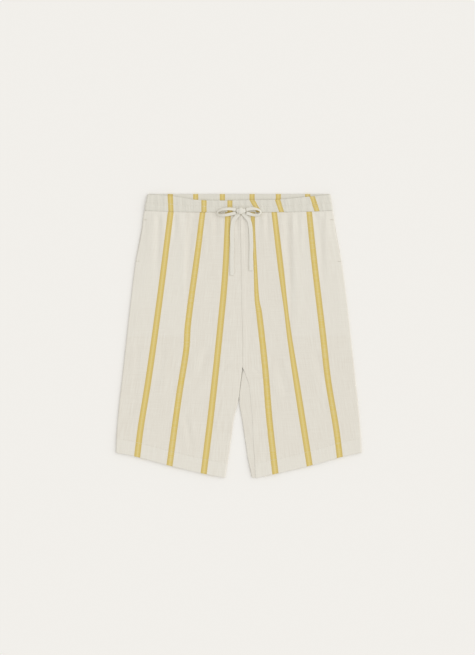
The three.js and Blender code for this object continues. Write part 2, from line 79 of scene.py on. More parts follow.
# Outline of the legs at a few distances down from the waist edge
Section = namedtuple("Section", "drop left_outer left_inner right_inner right_outer rolled")
SECTIONS = [
    Section(0, -0.1825, 0.0035, 0.0035, 0.183, 0),
    Section(0.034, -0.1891, 0.0035, 0.0035, 0.1881, 0),
    Section(0.072, -0.1945, 0.0037, 0.0037, 0.1939, 0),
    Section(0.132, -0.2055, 0.0045, 0.0045, 0.2048, 0),
    Section(0.212, -0.2155, 0.0057, 0.0057, 0.2155, 0),
    Section(0.292, -0.2245, 0.008, 0.008, 0.2245, 0),
    Section(0.344, -0.23, 0.0075, 0.0075, 0.23, 0.001),
    Section(0.38, -0.2342, 0.0035, 0.0035, 0.2339, 0.016),
    Section(0.412, -0.238, -0.0006, 0.0004, 0.2376, 0.023),
    Section(0.452, -0.242, -0.0101, 0.0065, 0.2412, 0.0205),
    Section(0.492, -0.2446, -0.0155, 0.0125, 0.2444, 0.016),
    Section(0.532, -0.246, -0.0215, 0.0185, 0.2465, 0.013),
    Section(0.567, -0.247, -0.0268, 0.026, 0.248, 0.007),
]

# Waist seam and hem across one leg, from the side seam (0) to the middle (1)
Line = namedtuple("Line", "across drop")
SEAM_LINE = [Line(0, 0.0335), Line(0.3, 0.036), Line(1, 0.037)]
HEM_LINE = [
    Line(0, 0.5175), Line(0.15, 0.524), Line(0.45, 0.5415),
    Line(0.72, 0.5555), Line(0.9, 0.5635), Line(1, 0.567),
]

# Top edge of the waistband's front
Edge = namedtuple("Edge", "x drop")
BAND_TOP_FRONT = [
    Edge(-0.19, 0.001), Edge(-0.137, 0.004), Edge(-0.085, 0.012), Edge(-0.03, 0.0134),
    Edge(0.027, 0.0124), Edge(0.079, 0.0114), Edge(0.137, 0.006), Edge(0.19, 0.001),
]
BAND_TOP_BACK = 0.0005

# Soft folds of the fronts, each from its upper to its lower end
Fold = namedtuple("Fold", "top_x top_drop end_x end_drop width depth")
FOLDS = [
    Fold(-0.159, 0.038, -0.166, 0.2, 0.0065, 0.0013),
    Fold(-0.095, 0.038, -0.104, 0.21, 0.007, 0.0012),
    Fold(-0.043, 0.038, -0.047, 0.11, 0.005, 0.0009),
    Fold(0.056, 0.038, 0.06, 0.12, 0.005, 0.0008),
    Fold(0.094, 0.038, 0.11, 0.29, 0.0075, 0.0014),
    Fold(0.16, 0.038, 0.171, 0.21, 0.0065, 0.0012),
    Fold(-0.108, 0.44, -0.09, 0.532, 0.006, 0.0008),
    Fold(-0.06, 0.3, -0.096, 0.42, 0.009, 0.0007),
    Fold(0.078, 0.33, 0.104, 0.45, 0.009, 0.0007),
]

# Finer creases that only the cloth's surface has
CREASES = [
    Fold(-0.128, 0.038, -0.131, 0.12, 0.004, 0.0005),
    Fold(-0.072, 0.038, -0.075, 0.14, 0.0035, 0.0005),
    Fold(0.128, 0.038, 0.134, 0.13, 0.004, 0.0005),
    Fold(0.076, 0.038, 0.080, 0.15, 0.0035, 0.0004),
    Fold(-0.012, 0.330, -0.070, 0.400, 0.005, 0.0004),
    Fold(0.022, 0.340, 0.075, 0.395, 0.005, 0.0004),
    Fold(-0.030, 0.140, -0.036, 0.300, 0.006, 0.0004),
    Fold(-0.150, 0.300, -0.170, 0.420, 0.008, 0.0005),
    Fold(0.150, 0.310, 0.185, 0.430, 0.008, 0.0005),
    Fold(-0.200, 0.290, -0.212, 0.460, 0.006, 0.0004),
    Fold(0.205, 0.120, 0.214, 0.260, 0.005, 0.0004),
    Fold(-0.188, 0.070, -0.200, 0.230, 0.005, 0.0004),
    Fold(0.060, 0.420, 0.072, 0.520, 0.006, 0.0004),
    Fold(-0.050, 0.430, -0.056, 0.530, 0.006, 0.0004),
]

Wave = namedtuple("Wave", "pitch height")
GATHER = Wave(0.017, 0.00075)
GATHER_FULL_FROM = 0.008
GATHER_FADE_FROM = 0.014
GATHER_FADE_TO = 0.080
FINE_GATHER = Wave(0.0068, 0.0003)
PUCKER = Wave(0.015, 0.00035)
FINE_PUCKER = Wave(0.0058, 0.00022)

# Stripes of the fronts: one list for each, from the waist seam to the hem, with its half width
Stripe = namedtuple("Stripe", "drop x half")
FRONT_STRIPES = [
    [Stripe(0.030, -0.1350, 0.0058), Stripe(0.212, -0.1581, 0.0062), Stripe(0.372, -0.1805, 0.0063),
     Stripe(0.472, -0.1965, 0.0063), Stripe(0.570, -0.2080, 0.0063)],
    [Stripe(0.030, -0.0712, 0.0056), Stripe(0.112, -0.0815, 0.0060), Stripe(0.260, -0.1015, 0.0063),
     Stripe(0.312, -0.1050, 0.0063), Stripe(0.404, -0.1195, 0.0063), Stripe(0.570, -0.1420, 0.0063)],
    [Stripe(0.030, -0.0210, 0.0058), Stripe(0.164, -0.0275, 0.0063), Stripe(0.292, -0.0395, 0.0063),
     Stripe(0.440, -0.0555, 0.0063), Stripe(0.492, -0.0619, 0.0063), Stripe(0.570, -0.0715, 0.0063)],
    [Stripe(0.030, 0.0275, 0.0050), Stripe(0.070, 0.0292, 0.0034), Stripe(0.140, 0.0330, 0.0034),
     Stripe(0.212, 0.0365, 0.0048), Stripe(0.236, 0.0405, 0.0060), Stripe(0.344, 0.0525, 0.0063),
     Stripe(0.452, 0.0615, 0.0063), Stripe(0.570, 0.0745, 0.0063)],
    [Stripe(0.030, 0.0700, 0.0056), Stripe(0.152, 0.0845, 0.0058), Stripe(0.232, 0.0945, 0.0042),
     Stripe(0.290, 0.1020, 0.0050), Stripe(0.396, 0.1185, 0.0063), Stripe(0.570, 0.1460, 0.0063)],
    [Stripe(0.030, 0.1400, 0.0056), Stripe(0.132, 0.1505, 0.0060), Stripe(0.284, 0.1685, 0.0063),
     Stripe(0.372, 0.1785, 0.0063), Stripe(0.472, 0.1951, 0.0063), Stripe(0.570, 0.2070, 0.0063)],
]
# Stripes of the waistband: x at its top and bottom edge
BandStripe = namedtuple("BandStripe", "top_x bottom_x")
BAND_FRONT_STRIPES = [
    BandStripe(-0.1370, -0.1356), BandStripe(-0.0695, -0.0695), BandStripe(-0.0175, -0.0175),
    BandStripe(0.0265, 0.0405), BandStripe(0.0775, 0.0855), BandStripe(0.1465, 0.1565),
]
BAND_BACK_STRIPES = [
    BandStripe(-0.1367, -0.1367), BandStripe(-0.0861, -0.0861), BandStripe(-0.0327, -0.0327),
    BandStripe(0.0267, 0.0267), BandStripe(0.0791, 0.0791), BandStripe(0.1377, 0.1377),
]
BAND_STRIPE_HALF = 0.0052
STRIPE_PITCH = 0.068
STRIPE_HALF = 0.0063
BACK_FLAT_WIDTH = 0.221
BACK_STRIPE_PHASE = 0.055

# Routes of the tapes on the table, and how far each point is lifted
Place = namedtuple("Place", "x y lift")
LEFT_END = [
    Place(-0.0015, 0.2416, 0.0001), Place(-0.006, 0.2365, 0.0003), Place(-0.0106, 0.2295, 0),
    Place(-0.0129, 0.218, 0), Place(-0.0138, 0.2, 0), Place(-0.0132, 0.178, 0),
    Place(-0.0137, 0.152, 0), Place(-0.0134, 0.121, 0),
]
RIGHT_END = [
    Place(0.0105, 0.2416, 0.0001), Place(0.0154, 0.2365, 0.0003), Place(0.0204, 0.2295, 0),
    Place(0.0233, 0.218, 0), Place(0.0244, 0.2, 0), Place(0.0251, 0.18, 0),
    Place(0.0246, 0.156, 0), Place(0.0245, 0.13, 0),
]
LEFT_LOOP = [
    Place(-0.006, 0.2512, 0.0024), Place(-0.014, 0.2528, 0.0026), Place(-0.024, 0.253, 0.0024),
    Place(-0.034, 0.2516, 0.0016), Place(-0.041, 0.2484, 0.0006), Place(-0.0434, 0.2442, 0.0002),
    Place(-0.0404, 0.2406, 0.0003), Place(-0.033, 0.2398, 0.0008), Place(-0.022, 0.2414, 0.0018),
    Place(-0.013, 0.2434, 0.0023), Place(-0.0062, 0.2446, 0.0024),
]
RIGHT_LOOP = [
    Place(0.015, 0.2512, 0.0024), Place(0.022, 0.2528, 0.0025), Place(0.031, 0.2534, 0.002),
    Place(0.039, 0.2516, 0.001), Place(0.0438, 0.2478, 0.0004), Place(0.043, 0.2436, 0.0003),
    Place(0.038, 0.2408, 0.0006), Place(0.03, 0.2408, 0.0016), Place(0.022, 0.2428, 0.0023),
    Place(0.0152, 0.2446, 0.0024),
]
KNOT = Vector((0.0045, 0.249, 0))
KNOT_LENGTH = 0.019
KNOT_WIDTH = 0.012
KNOT_HEIGHT = 0.007


# Smooth curves through short tables
def through(rows, key, value):
    xs = np.array([getattr(row, key) for row in rows], float)
    ys = np.array([getattr(row, value) for row in rows], float)
    before = np.maximum(np.arange(len(xs)) - 1, 0)
    after = np.minimum(np.arange(len(xs)) + 1, len(xs) - 1)
    slopes = (ys[after] - ys[before]) / (xs[after] - xs[before])

    def read(at):
        at = np.asarray(at, float)
        i = np.clip(np.searchsorted(xs, at) - 1, 0, len(xs) - 2)
        span = xs[i + 1] - xs[i]
        t = np.clip((at - xs[i]) / span, 0, 1)
        rise = ys[i + 1] - ys[i]
        bend_a = slopes[i] * span - rise
        bend_b = rise - slopes[i + 1] * span
        return ys[i] + t * rise + t * (1 - t) * (bend_a * (1 - t) + bend_b * t)

    return read


def smoothstep(value, low, high):
    t = np.clip((np.asarray(value, float) - low) / (high - low), 0, 1)
    return t * t * (3 - 2 * t)


def lerp(a, b, t):
    return a + (b - a) * t


Leg = namedtuple("Leg", "name outer inner inward rolled stripes")
LEFT = Leg(
    "left", through(SECTIONS, "drop", "left_outer"), through(SECTIONS, "drop", "left_inner"),
    1, None, FRONT_STRIPES,
)
RIGHT = Leg(
    "right", through(SECTIONS, "drop", "right_outer"), through(SECTIONS, "drop", "right_inner"),
    -1, through(SECTIONS, "drop", "rolled"), FRONT_STRIPES,
)
seam_drop = through(SEAM_LINE, "across", "drop")
hem_drop = through(HEM_LINE, "across", "drop")
band_top_front = through(BAND_TOP_FRONT, "x", "drop")


# Height of the flattened leg along its edges
def edge_height(below_seam, above_hem):
    waist = (WAIST_HEIGHT - LEG_HEIGHT) * (1 - smoothstep(below_seam, 0.020, 0.130))
    hem = (HEM_HEIGHT - LEG_HEIGHT) * (
        1 - smoothstep(above_hem, HEM_TURN + 0.002, HEM_TURN + 0.034)
    )
    return LEG_HEIGHT + waist + hem


def fold_height(x, drop, folds):
    height = np.zeros(np.broadcast(x, drop).shape)
    for fold in folds:
        t = (drop - fold.top_drop) / (fold.end_drop - fold.top_drop)
        q = (x - lerp(fold.top_x, fold.end_x, t)) / fold.width
        reach = smoothstep(t, 0, 0.1) * (1 - smoothstep(t, 0.35, 1))
        height -= fold.depth * reach * (1 - q * q) * np.exp(-q * q / 2)
    return height


def gather_height(x, below_seam):
    uneven = 0.7 + 0.3 * np.sin(x / 0.019 + 1)
    rise = smoothstep(below_seam, 0, GATHER_FULL_FROM)
    t = np.clip((below_seam - GATHER_FADE_FROM) / (GATHER_FADE_TO * uneven - GATHER_FADE_FROM), 0, 1)
    fade = 1 - t * t * (3 - 2 * t)
    main = np.sin(2 * np.pi * (x / GATHER.pitch + 0.3 * np.sin(x / 0.031)))
    fine_rise = smoothstep(below_seam, 0, 0.003) * (1 - smoothstep(below_seam, 0.006, 0.034))
    fine_uneven = 0.55 + 0.45 * np.sin(x / 0.0113 + 2) * np.sin(x / 0.041)
    fine = np.sin(2 * np.pi * (x / FINE_GATHER.pitch + 0.6 * np.sin(x / 0.023)))
    return (
        GATHER.height * uneven * rise * fade * main
        + FINE_GATHER.height * fine_uneven * fine_rise * fine
    )


# Slow, uneven swells of cloth that was pressed and then laid down
def rumple(x, drop):
    long_way = np.sin(x / 0.0117 + 1.3 * np.sin(drop / 0.083) + 0.8)
    long_way *= np.sin(drop / 0.061 + x / 0.047)
    cross = np.sin(drop / 0.0190 + 2.1 * np.sin(x / 0.052)) * np.sin(x / 0.029 + 0.4)
    return 0.00012 * long_way + 0.00007 * cross


def pocket_lift(x, drop):
    inner = smoothstep(np.abs(x), POCKET_INNER_X - 0.004, POCKET_INNER_X - 0.001)
    above = 1 - smoothstep(drop, POCKET_BOTTOM + 0.001, POCKET_BOTTOM + 0.005)
    return np.minimum(inner, above)


# Middle of the front cloth over the table
def front_height(x, drop, below_seam, above_hem, from_edge):
    edge = edge_height(below_seam, above_hem)
    free = smoothstep(from_edge, 0, 0.014) * smoothstep(above_hem, HEM_TURN, HEM_TURN + 0.020)
    puff = WAIST_PUFF * smoothstep(below_seam, 0, 0.010) * (1 - smoothstep(below_seam, 0.025, 0.090))
    relief = fold_height(x, drop, FOLDS) + gather_height(x, below_seam) + puff
    fine = fold_height(x, drop, CREASES) + rumple(x, drop)
    under_tape = smoothstep(np.abs(x - KNOT.x), 0.020, 0.034)
    fine *= np.maximum(under_tape, smoothstep(drop, 0.170, 0.200))
    inside = pocket_lift(x, drop)
    lowest = CLOTH * 1.5 + SEAM_GAP + 0.0002 + inside * (CLOTH + SEAM_GAP)
    return np.maximum(edge + free * (relief + fine + inside * POCKET_IMPRINT), lowest)


# Stitched lines pull the cloth in along the centre seam and the top of the hem
CENTRE_GROOVE = Wave(0.0012, 0.00012)
CENTRE_RIDGE = Wave(0.009, 0.00035)
HEM_GROOVE = Wave(0.0011, 0.0003)
HEM_PUCKER = Wave(0.0092, 0.00014)


def seam_relief(leg, x, outer_x, inner_x, drop, above_hem):
    clear_of_side = smoothstep(np.abs(x - outer_x), 0.003, 0.009)
    from_seam = np.abs(inner_x - x)
    groove = -CENTRE_GROOVE.height * np.exp(-((from_seam / CENTRE_GROOVE.pitch) ** 2))
    ridge = 0
    if leg is RIGHT:
        ridge = CENTRE_RIDGE.height * (1 - smoothstep(from_seam, 0.006, CENTRE_RIDGE.pitch))
        ridge = ridge * (1 - smoothstep(drop, CROTCH_DROP - 0.030, CROTCH_DROP))
    line = (above_hem - HEM_TURN) / HEM_GROOVE.pitch
    hem = -HEM_GROOVE.height * np.exp(-line * line)
    near = np.exp(-((line / 6) ** 2))
    pull = HEM_PUCKER.height * near * np.sin(2 * np.pi * (x + 0.3 * above_hem) / HEM_PUCKER.pitch)
    return groove + ridge + (hem + pull) * clear_of_side


OUTER_SHARE = 0.05
INNER_SHARE = 0.1
INNER_FLAT = 0.010
POCKET_GAPE = 0.0008
ROLL_SLOPE = 0.0008


# One place on a leg's flattened tube, as in the solids: u from the side seam to the inner edge
def section_point(leg, is_front, u, drop, seam, hem):
    below_seam = drop - seam
    above_hem = hem - drop
    radius = (edge_height(below_seam, above_hem) - CLOTH / 2) / 2
    gap_angle = SHOWN_GAP / 2 / radius
    quarter = np.pi / 2
    side = 1 if is_front else -1
    outer_x = leg.outer(drop) + leg.inward * CLOTH / 2
    if is_front:
        gape = smoothstep(drop, 0.050, 0.070) * (1 - smoothstep(drop, 0.112, 0.134))
        outer_x = outer_x + leg.inward * POCKET_GAPE * gape
    arc = lerp(gap_angle, quarter, np.clip(u / OUTER_SHARE, 0, 1))
    arc_x = outer_x + leg.inward * radius * (1 - np.cos(arc))
    arc_z = CLOTH / 2 + radius + side * radius * np.sin(arc)

    turned = smoothstep(drop, CROTCH_DROP, CROTCH_DROP + CROTCH_TURN)
    wall = lerp(SHOWN_GAP / 2, SEAM_GAP / 2 + CLOTH / 2, turned)
    inner_x = leg.inner(drop) - leg.inward * wall
    turn = turned * (quarter - gap_angle)
    strip = np.zeros_like(turn)
    if leg is RIGHT:
        rolled = leg.rolled(drop)
        if is_front:
            inner_x = leg.inner(drop) - leg.inward * lerp(
                SHOWN_GAP / 2, rolled + SEAM_GAP, turned
            )
            turn = np.zeros_like(turn)
        else:
            turn = turned * np.pi
            strip = turned * np.maximum(rolled - radius - CLOTH / 2, 0)
    flat_end = inner_x - leg.inward * radius * np.sin(np.minimum(turn, quarter))
    length = INNER_FLAT + radius * turn + strip
    start = flat_end - leg.inward * INNER_FLAT
    along = length * np.maximum((u - (1 - INNER_SHARE)) / INNER_SHARE, 0)
    t = (u - OUTER_SHARE) / (1 - INNER_SHARE - OUTER_SHARE)
    open_x = lerp(outer_x + leg.inward * radius, start, t)
    angle = np.clip((along - INNER_FLAT) / radius, 0, turn)
    past = np.maximum(along - INNER_FLAT - radius * turn, 0)
    edge_x = start + leg.inward * np.minimum(along, INNER_FLAT)
    edge_x = edge_x + leg.inward * (radius * np.sin(angle) - past)
    away = radius * (1 - np.cos(angle))
    x = np.where(u < OUTER_SHARE, arc_x, np.where(u <= 1 - INNER_SHARE, open_x, edge_x))
    if not is_front:
        groove = 0.0002 * np.exp(-(((above_hem - HEM_TURN) / HEM_GROOVE.pitch) ** 2))
        sunk = ROLL_SLOPE * (1 - past / np.maximum(strip, CLOTH)) * (strip > 0) * (angle / np.pi) ** 4
        z = CLOTH / 2 + np.where(u > 1 - INNER_SHARE, away - sunk, 0) + groove
        return x, np.where(u < OUTER_SHARE, arc_z, z)
    from_outer = np.abs(x - outer_x) - radius
    from_inner = np.abs(inner_x - x) - radius
    kept = smoothstep(drop, CROTCH_DROP - 0.040, CROTCH_DROP)
    from_edge = np.minimum(from_outer, lerp(np.maximum(from_inner, 0.014), from_inner, kept))
    z = front_height(x, drop, below_seam, above_hem, np.maximum(from_edge, 0))
    z = z + seam_relief(leg, x, outer_x, inner_x, drop, above_hem)
    z = z - np.where(u > 1 - INNER_SHARE, away, 0)
    return x, np.where(u < OUTER_SHARE, arc_z, z)


# Middle of a panel's cloth. v: waist seam 0, top of the hem 1, its fold 2, turned 3, inner edge 4
def panel_point(leg, is_front, u, v):
    across = np.clip((u - OUTER_SHARE) / (1 - OUTER_SHARE - INNER_SHARE / 2), 0, 1)
    seam = seam_drop(across)
    hem = hem_drop(across)
    leg_part = lerp(seam + SHOWN_GAP / 2, hem - HEM_TURN, np.minimum(v, 1))
    hem_part = lerp(hem - HEM_TURN, hem - HEM_RADIUS, np.clip(v - 1, 0, 1))
    angle = np.pi * np.clip(v - 2, 0, 1)
    fold_part = hem - HEM_RADIUS + HEM_RADIUS * np.sin(angle)
    inner_part = lerp(hem - HEM_RADIUS, hem - HEM_TURN + 0.001, v - 3)
    drop = np.where(v <= 1, leg_part, np.where(v <= 2, hem_part, fold_part))
    drop = np.where(v > 3, inner_part, drop)
    inwards = np.where(v > 2, HEM_RADIUS * (1 - np.cos(angle)), 0)
    x, z = section_point(leg, is_front, u, drop, seam, hem)
    step = 1e-4
    ax, az = section_point(leg, is_front, np.maximum(u - step, 0), drop, seam, hem)
    bx, bz = section_point(leg, is_front, np.minimum(u + step, 1), drop, seam, hem)
    length = np.hypot(bx - ax, bz - az)
    side = (-1 if is_front else 1) * leg.inward
    x = x - side * inwards * (bz - az) / length
    z = z + side * inwards * (bx - ax) / length
    return np.stack([x, LENGTH / 2 - drop, z], axis=-1), drop, across


BAND_BACK_END = 0.3
BAND_FRONT_START = 0.35
BAND_FRONT_END = 0.95


# Middle of the waistband: u runs along the back, up the right fold, along the front and down
def band_point(u, v):
    radius = (BAND + BAND_CLEARANCE) / 2
    side_drop = lerp(seam_drop(0), BAND_TOP_BACK, v)
    left_x = LEFT.outer(side_drop) + BAND / 2 + radius
    right_x = RIGHT.outer(side_drop) - BAND / 2 - radius
    t_back = u / BAND_BACK_END
    t_right = np.clip((u - BAND_BACK_END) / (BAND_FRONT_START - BAND_BACK_END), 0, 1)
    t_front = np.clip((u - BAND_FRONT_START) / (BAND_FRONT_END - BAND_FRONT_START), 0, 1)
    t_left = np.clip((u - BAND_FRONT_END) / (1 - BAND_FRONT_END), 0, 1)
    x = np.where(u < BAND_BACK_END, lerp(left_x, right_x, t_back), lerp(right_x, left_x, t_front))
    front = t_right - t_left
    out = radius * (np.sin(np.pi * t_right) - np.sin(np.pi * t_left))
    z = BAND / 2 + radius * (1 - np.cos(np.pi * front))
    wave = np.sin(2 * np.pi * x / PUCKER.pitch + 1.5 * np.sin(x / 0.027))
    fine = np.sin(2 * np.pi * x / FINE_PUCKER.pitch + 2.2 * np.sin(x / 0.019) + 3 * v)
    fine = fine * (0.6 + 0.4 * np.sin(x / 0.0083 + 5 * v)) * np.sin(np.pi * np.clip(v, 0.08, 0.92))
    on_front = (front > 0.999) * smoothstep(np.minimum(x - left_x, right_x - x), 0, 0.012)
    z = z + on_front * (PUCKER.height * np.maximum(wave, -0.5) + FINE_PUCKER.height * fine)
    middle = RIGHT.inner(seam_drop(1))
    across = np.where(x < middle, (x - left_x) / (middle - left_x), (right_x - x) / (right_x - middle))
    bottom = seam_drop(np.clip(across, 0, 1)) - SHOWN_GAP / 2
    top = lerp(BAND_TOP_BACK, band_top_front(x), front)
    drop = lerp(bottom, top, v)
    return np.stack([x + out, LENGTH / 2 - drop, z], axis=-1), x, front


# The cloth's own coordinate across the stripes: 0 at the first stripe, one pitch more at each next
def cloth_coordinate(x, centres, halves):
    coordinate = np.zeros(x.shape)
    first_low = centres[0] - halves[0]
    last_high = centres[-1] + halves[-1]
    for i in range(len(centres)):
        base = i * STRIPE_PITCH
        inside = (x - centres[i]) / halves[i] * STRIPE_HALF
        coordinate = np.where(np.abs(x - centres[i]) <= halves[i], base + inside, coordinate)
        if i == len(centres) - 1:
            break
        low = centres[i] + halves[i]
        high = centres[i + 1] - halves[i + 1]
        t = (x - low) / (high - low)
        between = base + STRIPE_HALF + t * (STRIPE_PITCH - 2 * STRIPE_HALF)
        coordinate = np.where((x > low) & (x < high), between, coordinate)
    last = (len(centres) - 1) * STRIPE_PITCH + STRIPE_HALF
    coordinate = np.where(x < first_low, -STRIPE_HALF + (x - first_low), coordinate)
    return np.where(x > last_high, last + (x - last_high), coordinate)


def front_cloth_u(leg, x, drop):
    centres = [through(rows, "drop", "x")(drop) for rows in leg.stripes]
    halves = [through(rows, "drop", "half")(drop) for rows in leg.stripes]
    return cloth_coordinate(x, centres, halves)


def back_cloth_u(points, across):
    steps = np.linalg.norm(np.diff(points[..., [0, 2]], axis=1), axis=-1)
    run = np.concatenate([np.zeros((len(points), 1)), np.cumsum(steps, axis=1)], axis=1)
    flat = np.argmax(across >= 0.9, axis=1)
    at_flat = np.take_along_axis(run, flat[:, None], axis=1)
    scale = 0.9 * BACK_FLAT_WIDTH / at_flat
    stretched = np.minimum(run, at_flat) * scale + np.maximum(run - at_flat, 0)
    return stretched - BACK_STRIPE_PHASE


# Meshes
def deselect():
    if bpy.context.object and bpy.context.object.mode != "OBJECT":
        bpy.ops.object.mode_set(mode="OBJECT")
    bpy.ops.object.select_all(action="DESELECT")


def select_points(obj, test):
    bpy.ops.object.mode_set(mode="EDIT")
    bpy.ops.mesh.select_mode(type="VERT")
    bpy.ops.mesh.select_all(action="DESELECT")
    bpy.ops.object.mode_set(mode="OBJECT")
    for vertex in obj.data.vertices:
        vertex.select = bool(test(vertex.co))
    bpy.ops.object.mode_set(mode="EDIT")


def new_object(name, vertices, faces, material, uvs=None, attributes=None):
    mesh = bpy.data.meshes.new(name)
    mesh.from_pydata(vertices.tolist(), [], faces)
    mesh.validate()
    mesh.polygons.foreach_set("use_smooth", [True] * len(mesh.polygons))
    if uvs is not None:
        layer = mesh.uv_layers.new(name="Cloth")
        loops = np.empty(len(mesh.loops), int)
        mesh.loops.foreach_get("vertex_index", loops)
        layer.data.foreach_set("uv", uvs[loops].astype(np.float32).ravel())
    for key, values in (attributes or {}).items():
        attribute = mesh.attributes.new(key, "FLOAT", "POINT")
        attribute.data.foreach_set("value", np.asarray(values, np.float32).ravel())
    mesh.materials.append(material)
    obj = bpy.data.objects.new(name, mesh)
    bpy.context.collection.objects.link(obj)
    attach(obj, "root")
    return obj


def surface_normals(point, u, v, loop, last_v):
    step = 1e-4
    before = (u - step) % 1 if loop else np.maximum(u - step, 0)
    after = (u + step) % 1 if loop else np.minimum(u + step, 1)
    along_u = point(after, v)[0] - point(before, v)[0]
    along_v = point(u, np.minimum(v + step, last_v))[0] - point(u, np.maximum(v - step, 0))[0]
    normal = np.cross(along_u, along_v)
    return normal / np.linalg.norm(normal, axis=-1, keepdims=True)


# A closed shell about a surface: outer points, then inner points, with the rims between them
def shell_faces(rows, columns, loop, flip):
    outer = np.arange(rows * columns).reshape(rows, columns)
    inner = outer + rows * columns
    if loop:
        outer = np.concatenate([outer, outer[:, :1]], axis=1)
        inner = np.concatenate([inner, inner[:, :1]], axis=1)

    def quads(grid):
        return np.stack([grid[:-1, :-1], grid[:-1, 1:], grid[1:, 1:], grid[1:, :-1]], -1).reshape(-1, 4)

    def rim(a, b):
        return np.stack([a[:-1], b[:-1], b[1:], a[1:]], -1)

    faces = [quads(outer), quads(inner)[:, ::-1], rim(outer[0], inner[0]),
             rim(outer[-1], inner[-1])[:, ::-1]]
    if not loop:
        faces += [rim(outer[:, 0], inner[:, 0])[:, ::-1], rim(outer[:, -1], inner[:, -1])]
    faces = np.concatenate(faces)
    return (faces[:, ::-1] if flip else faces).tolist()



# A thin closed shell that reaches outer and inner metres out from the middle of the cloth
def shell(name, point, us, vs, way, outer, inner, material, uv, loop=False, attributes=None):
    u, v = np.meshgrid(us, vs)
    middle = point(u, v)[0]
    normal = surface_normals(point, u, v, loop, vs[-1]) * way
    outside = middle + normal * np.broadcast_to(outer(v), v.shape)[..., None]
    inside = middle + normal * np.broadcast_to(inner(v), v.shape)[..., None]
    vertices = np.concatenate([outside.reshape(-1, 3), inside.reshape(-1, 3)])
    uvs = np.concatenate([uv(u, v).reshape(-1, 2)] * 2)
    faces = shell_faces(len(vs), len(us), loop, flip=way < 0)
    values = {key: np.tile(read(u, v).ravel(), 2) for key, read in (attributes or {}).items()}
    return new_object(name, vertices, faces, material, uvs, values)


# Materials
def linear(hex_colour):
    channels = [int(hex_colour[i:i + 2], 16) / 255 for i in (1, 3, 5)]
    straight = [c / 12.92 if c <= 0.04045 else ((c + 0.055) / 1.055) ** 2.4 for c in channels]
    return (*straight, 1.0)


# Add one node: settings are its properties, and inputs are values, sockets or nodes by name or index
def add_node(tree, kind, inputs=None, **settings):
    node = tree.nodes.new(kind)
    for key, value in settings.items():
        setattr(node, key, value)
    for key, value in (inputs or {}).items():
        if isinstance(value, bpy.types.Node):
            value = value.outputs[0]
        if isinstance(value, bpy.types.NodeSocket):
            tree.links.new(value, node.inputs[key])
        else:
            node.inputs[key].default_value = value
    return node


def new_material(name):
    material = bpy.data.materials.new(name)
    material.use_nodes = True
    material.node_tree.nodes.clear()
    return material, material.node_tree


def finish_material(tree, colour, roughness, bump, sheen=0.15):
    surface = add_node(tree, "ShaderNodeBsdfPrincipled", {
        "Base Color": colour, "Roughness": roughness, "Sheen Weight": sheen,
        "Sheen Roughness": 0.5, "Specular IOR Level": 0.25, "Normal": bump,
    })
    add_node(tree, "ShaderNodeOutputMaterial", {"Surface": surface})


THREAD_PITCH = 0.0012
SLUB_LENGTH = 0.045
WEFT_SHARE = 0.35


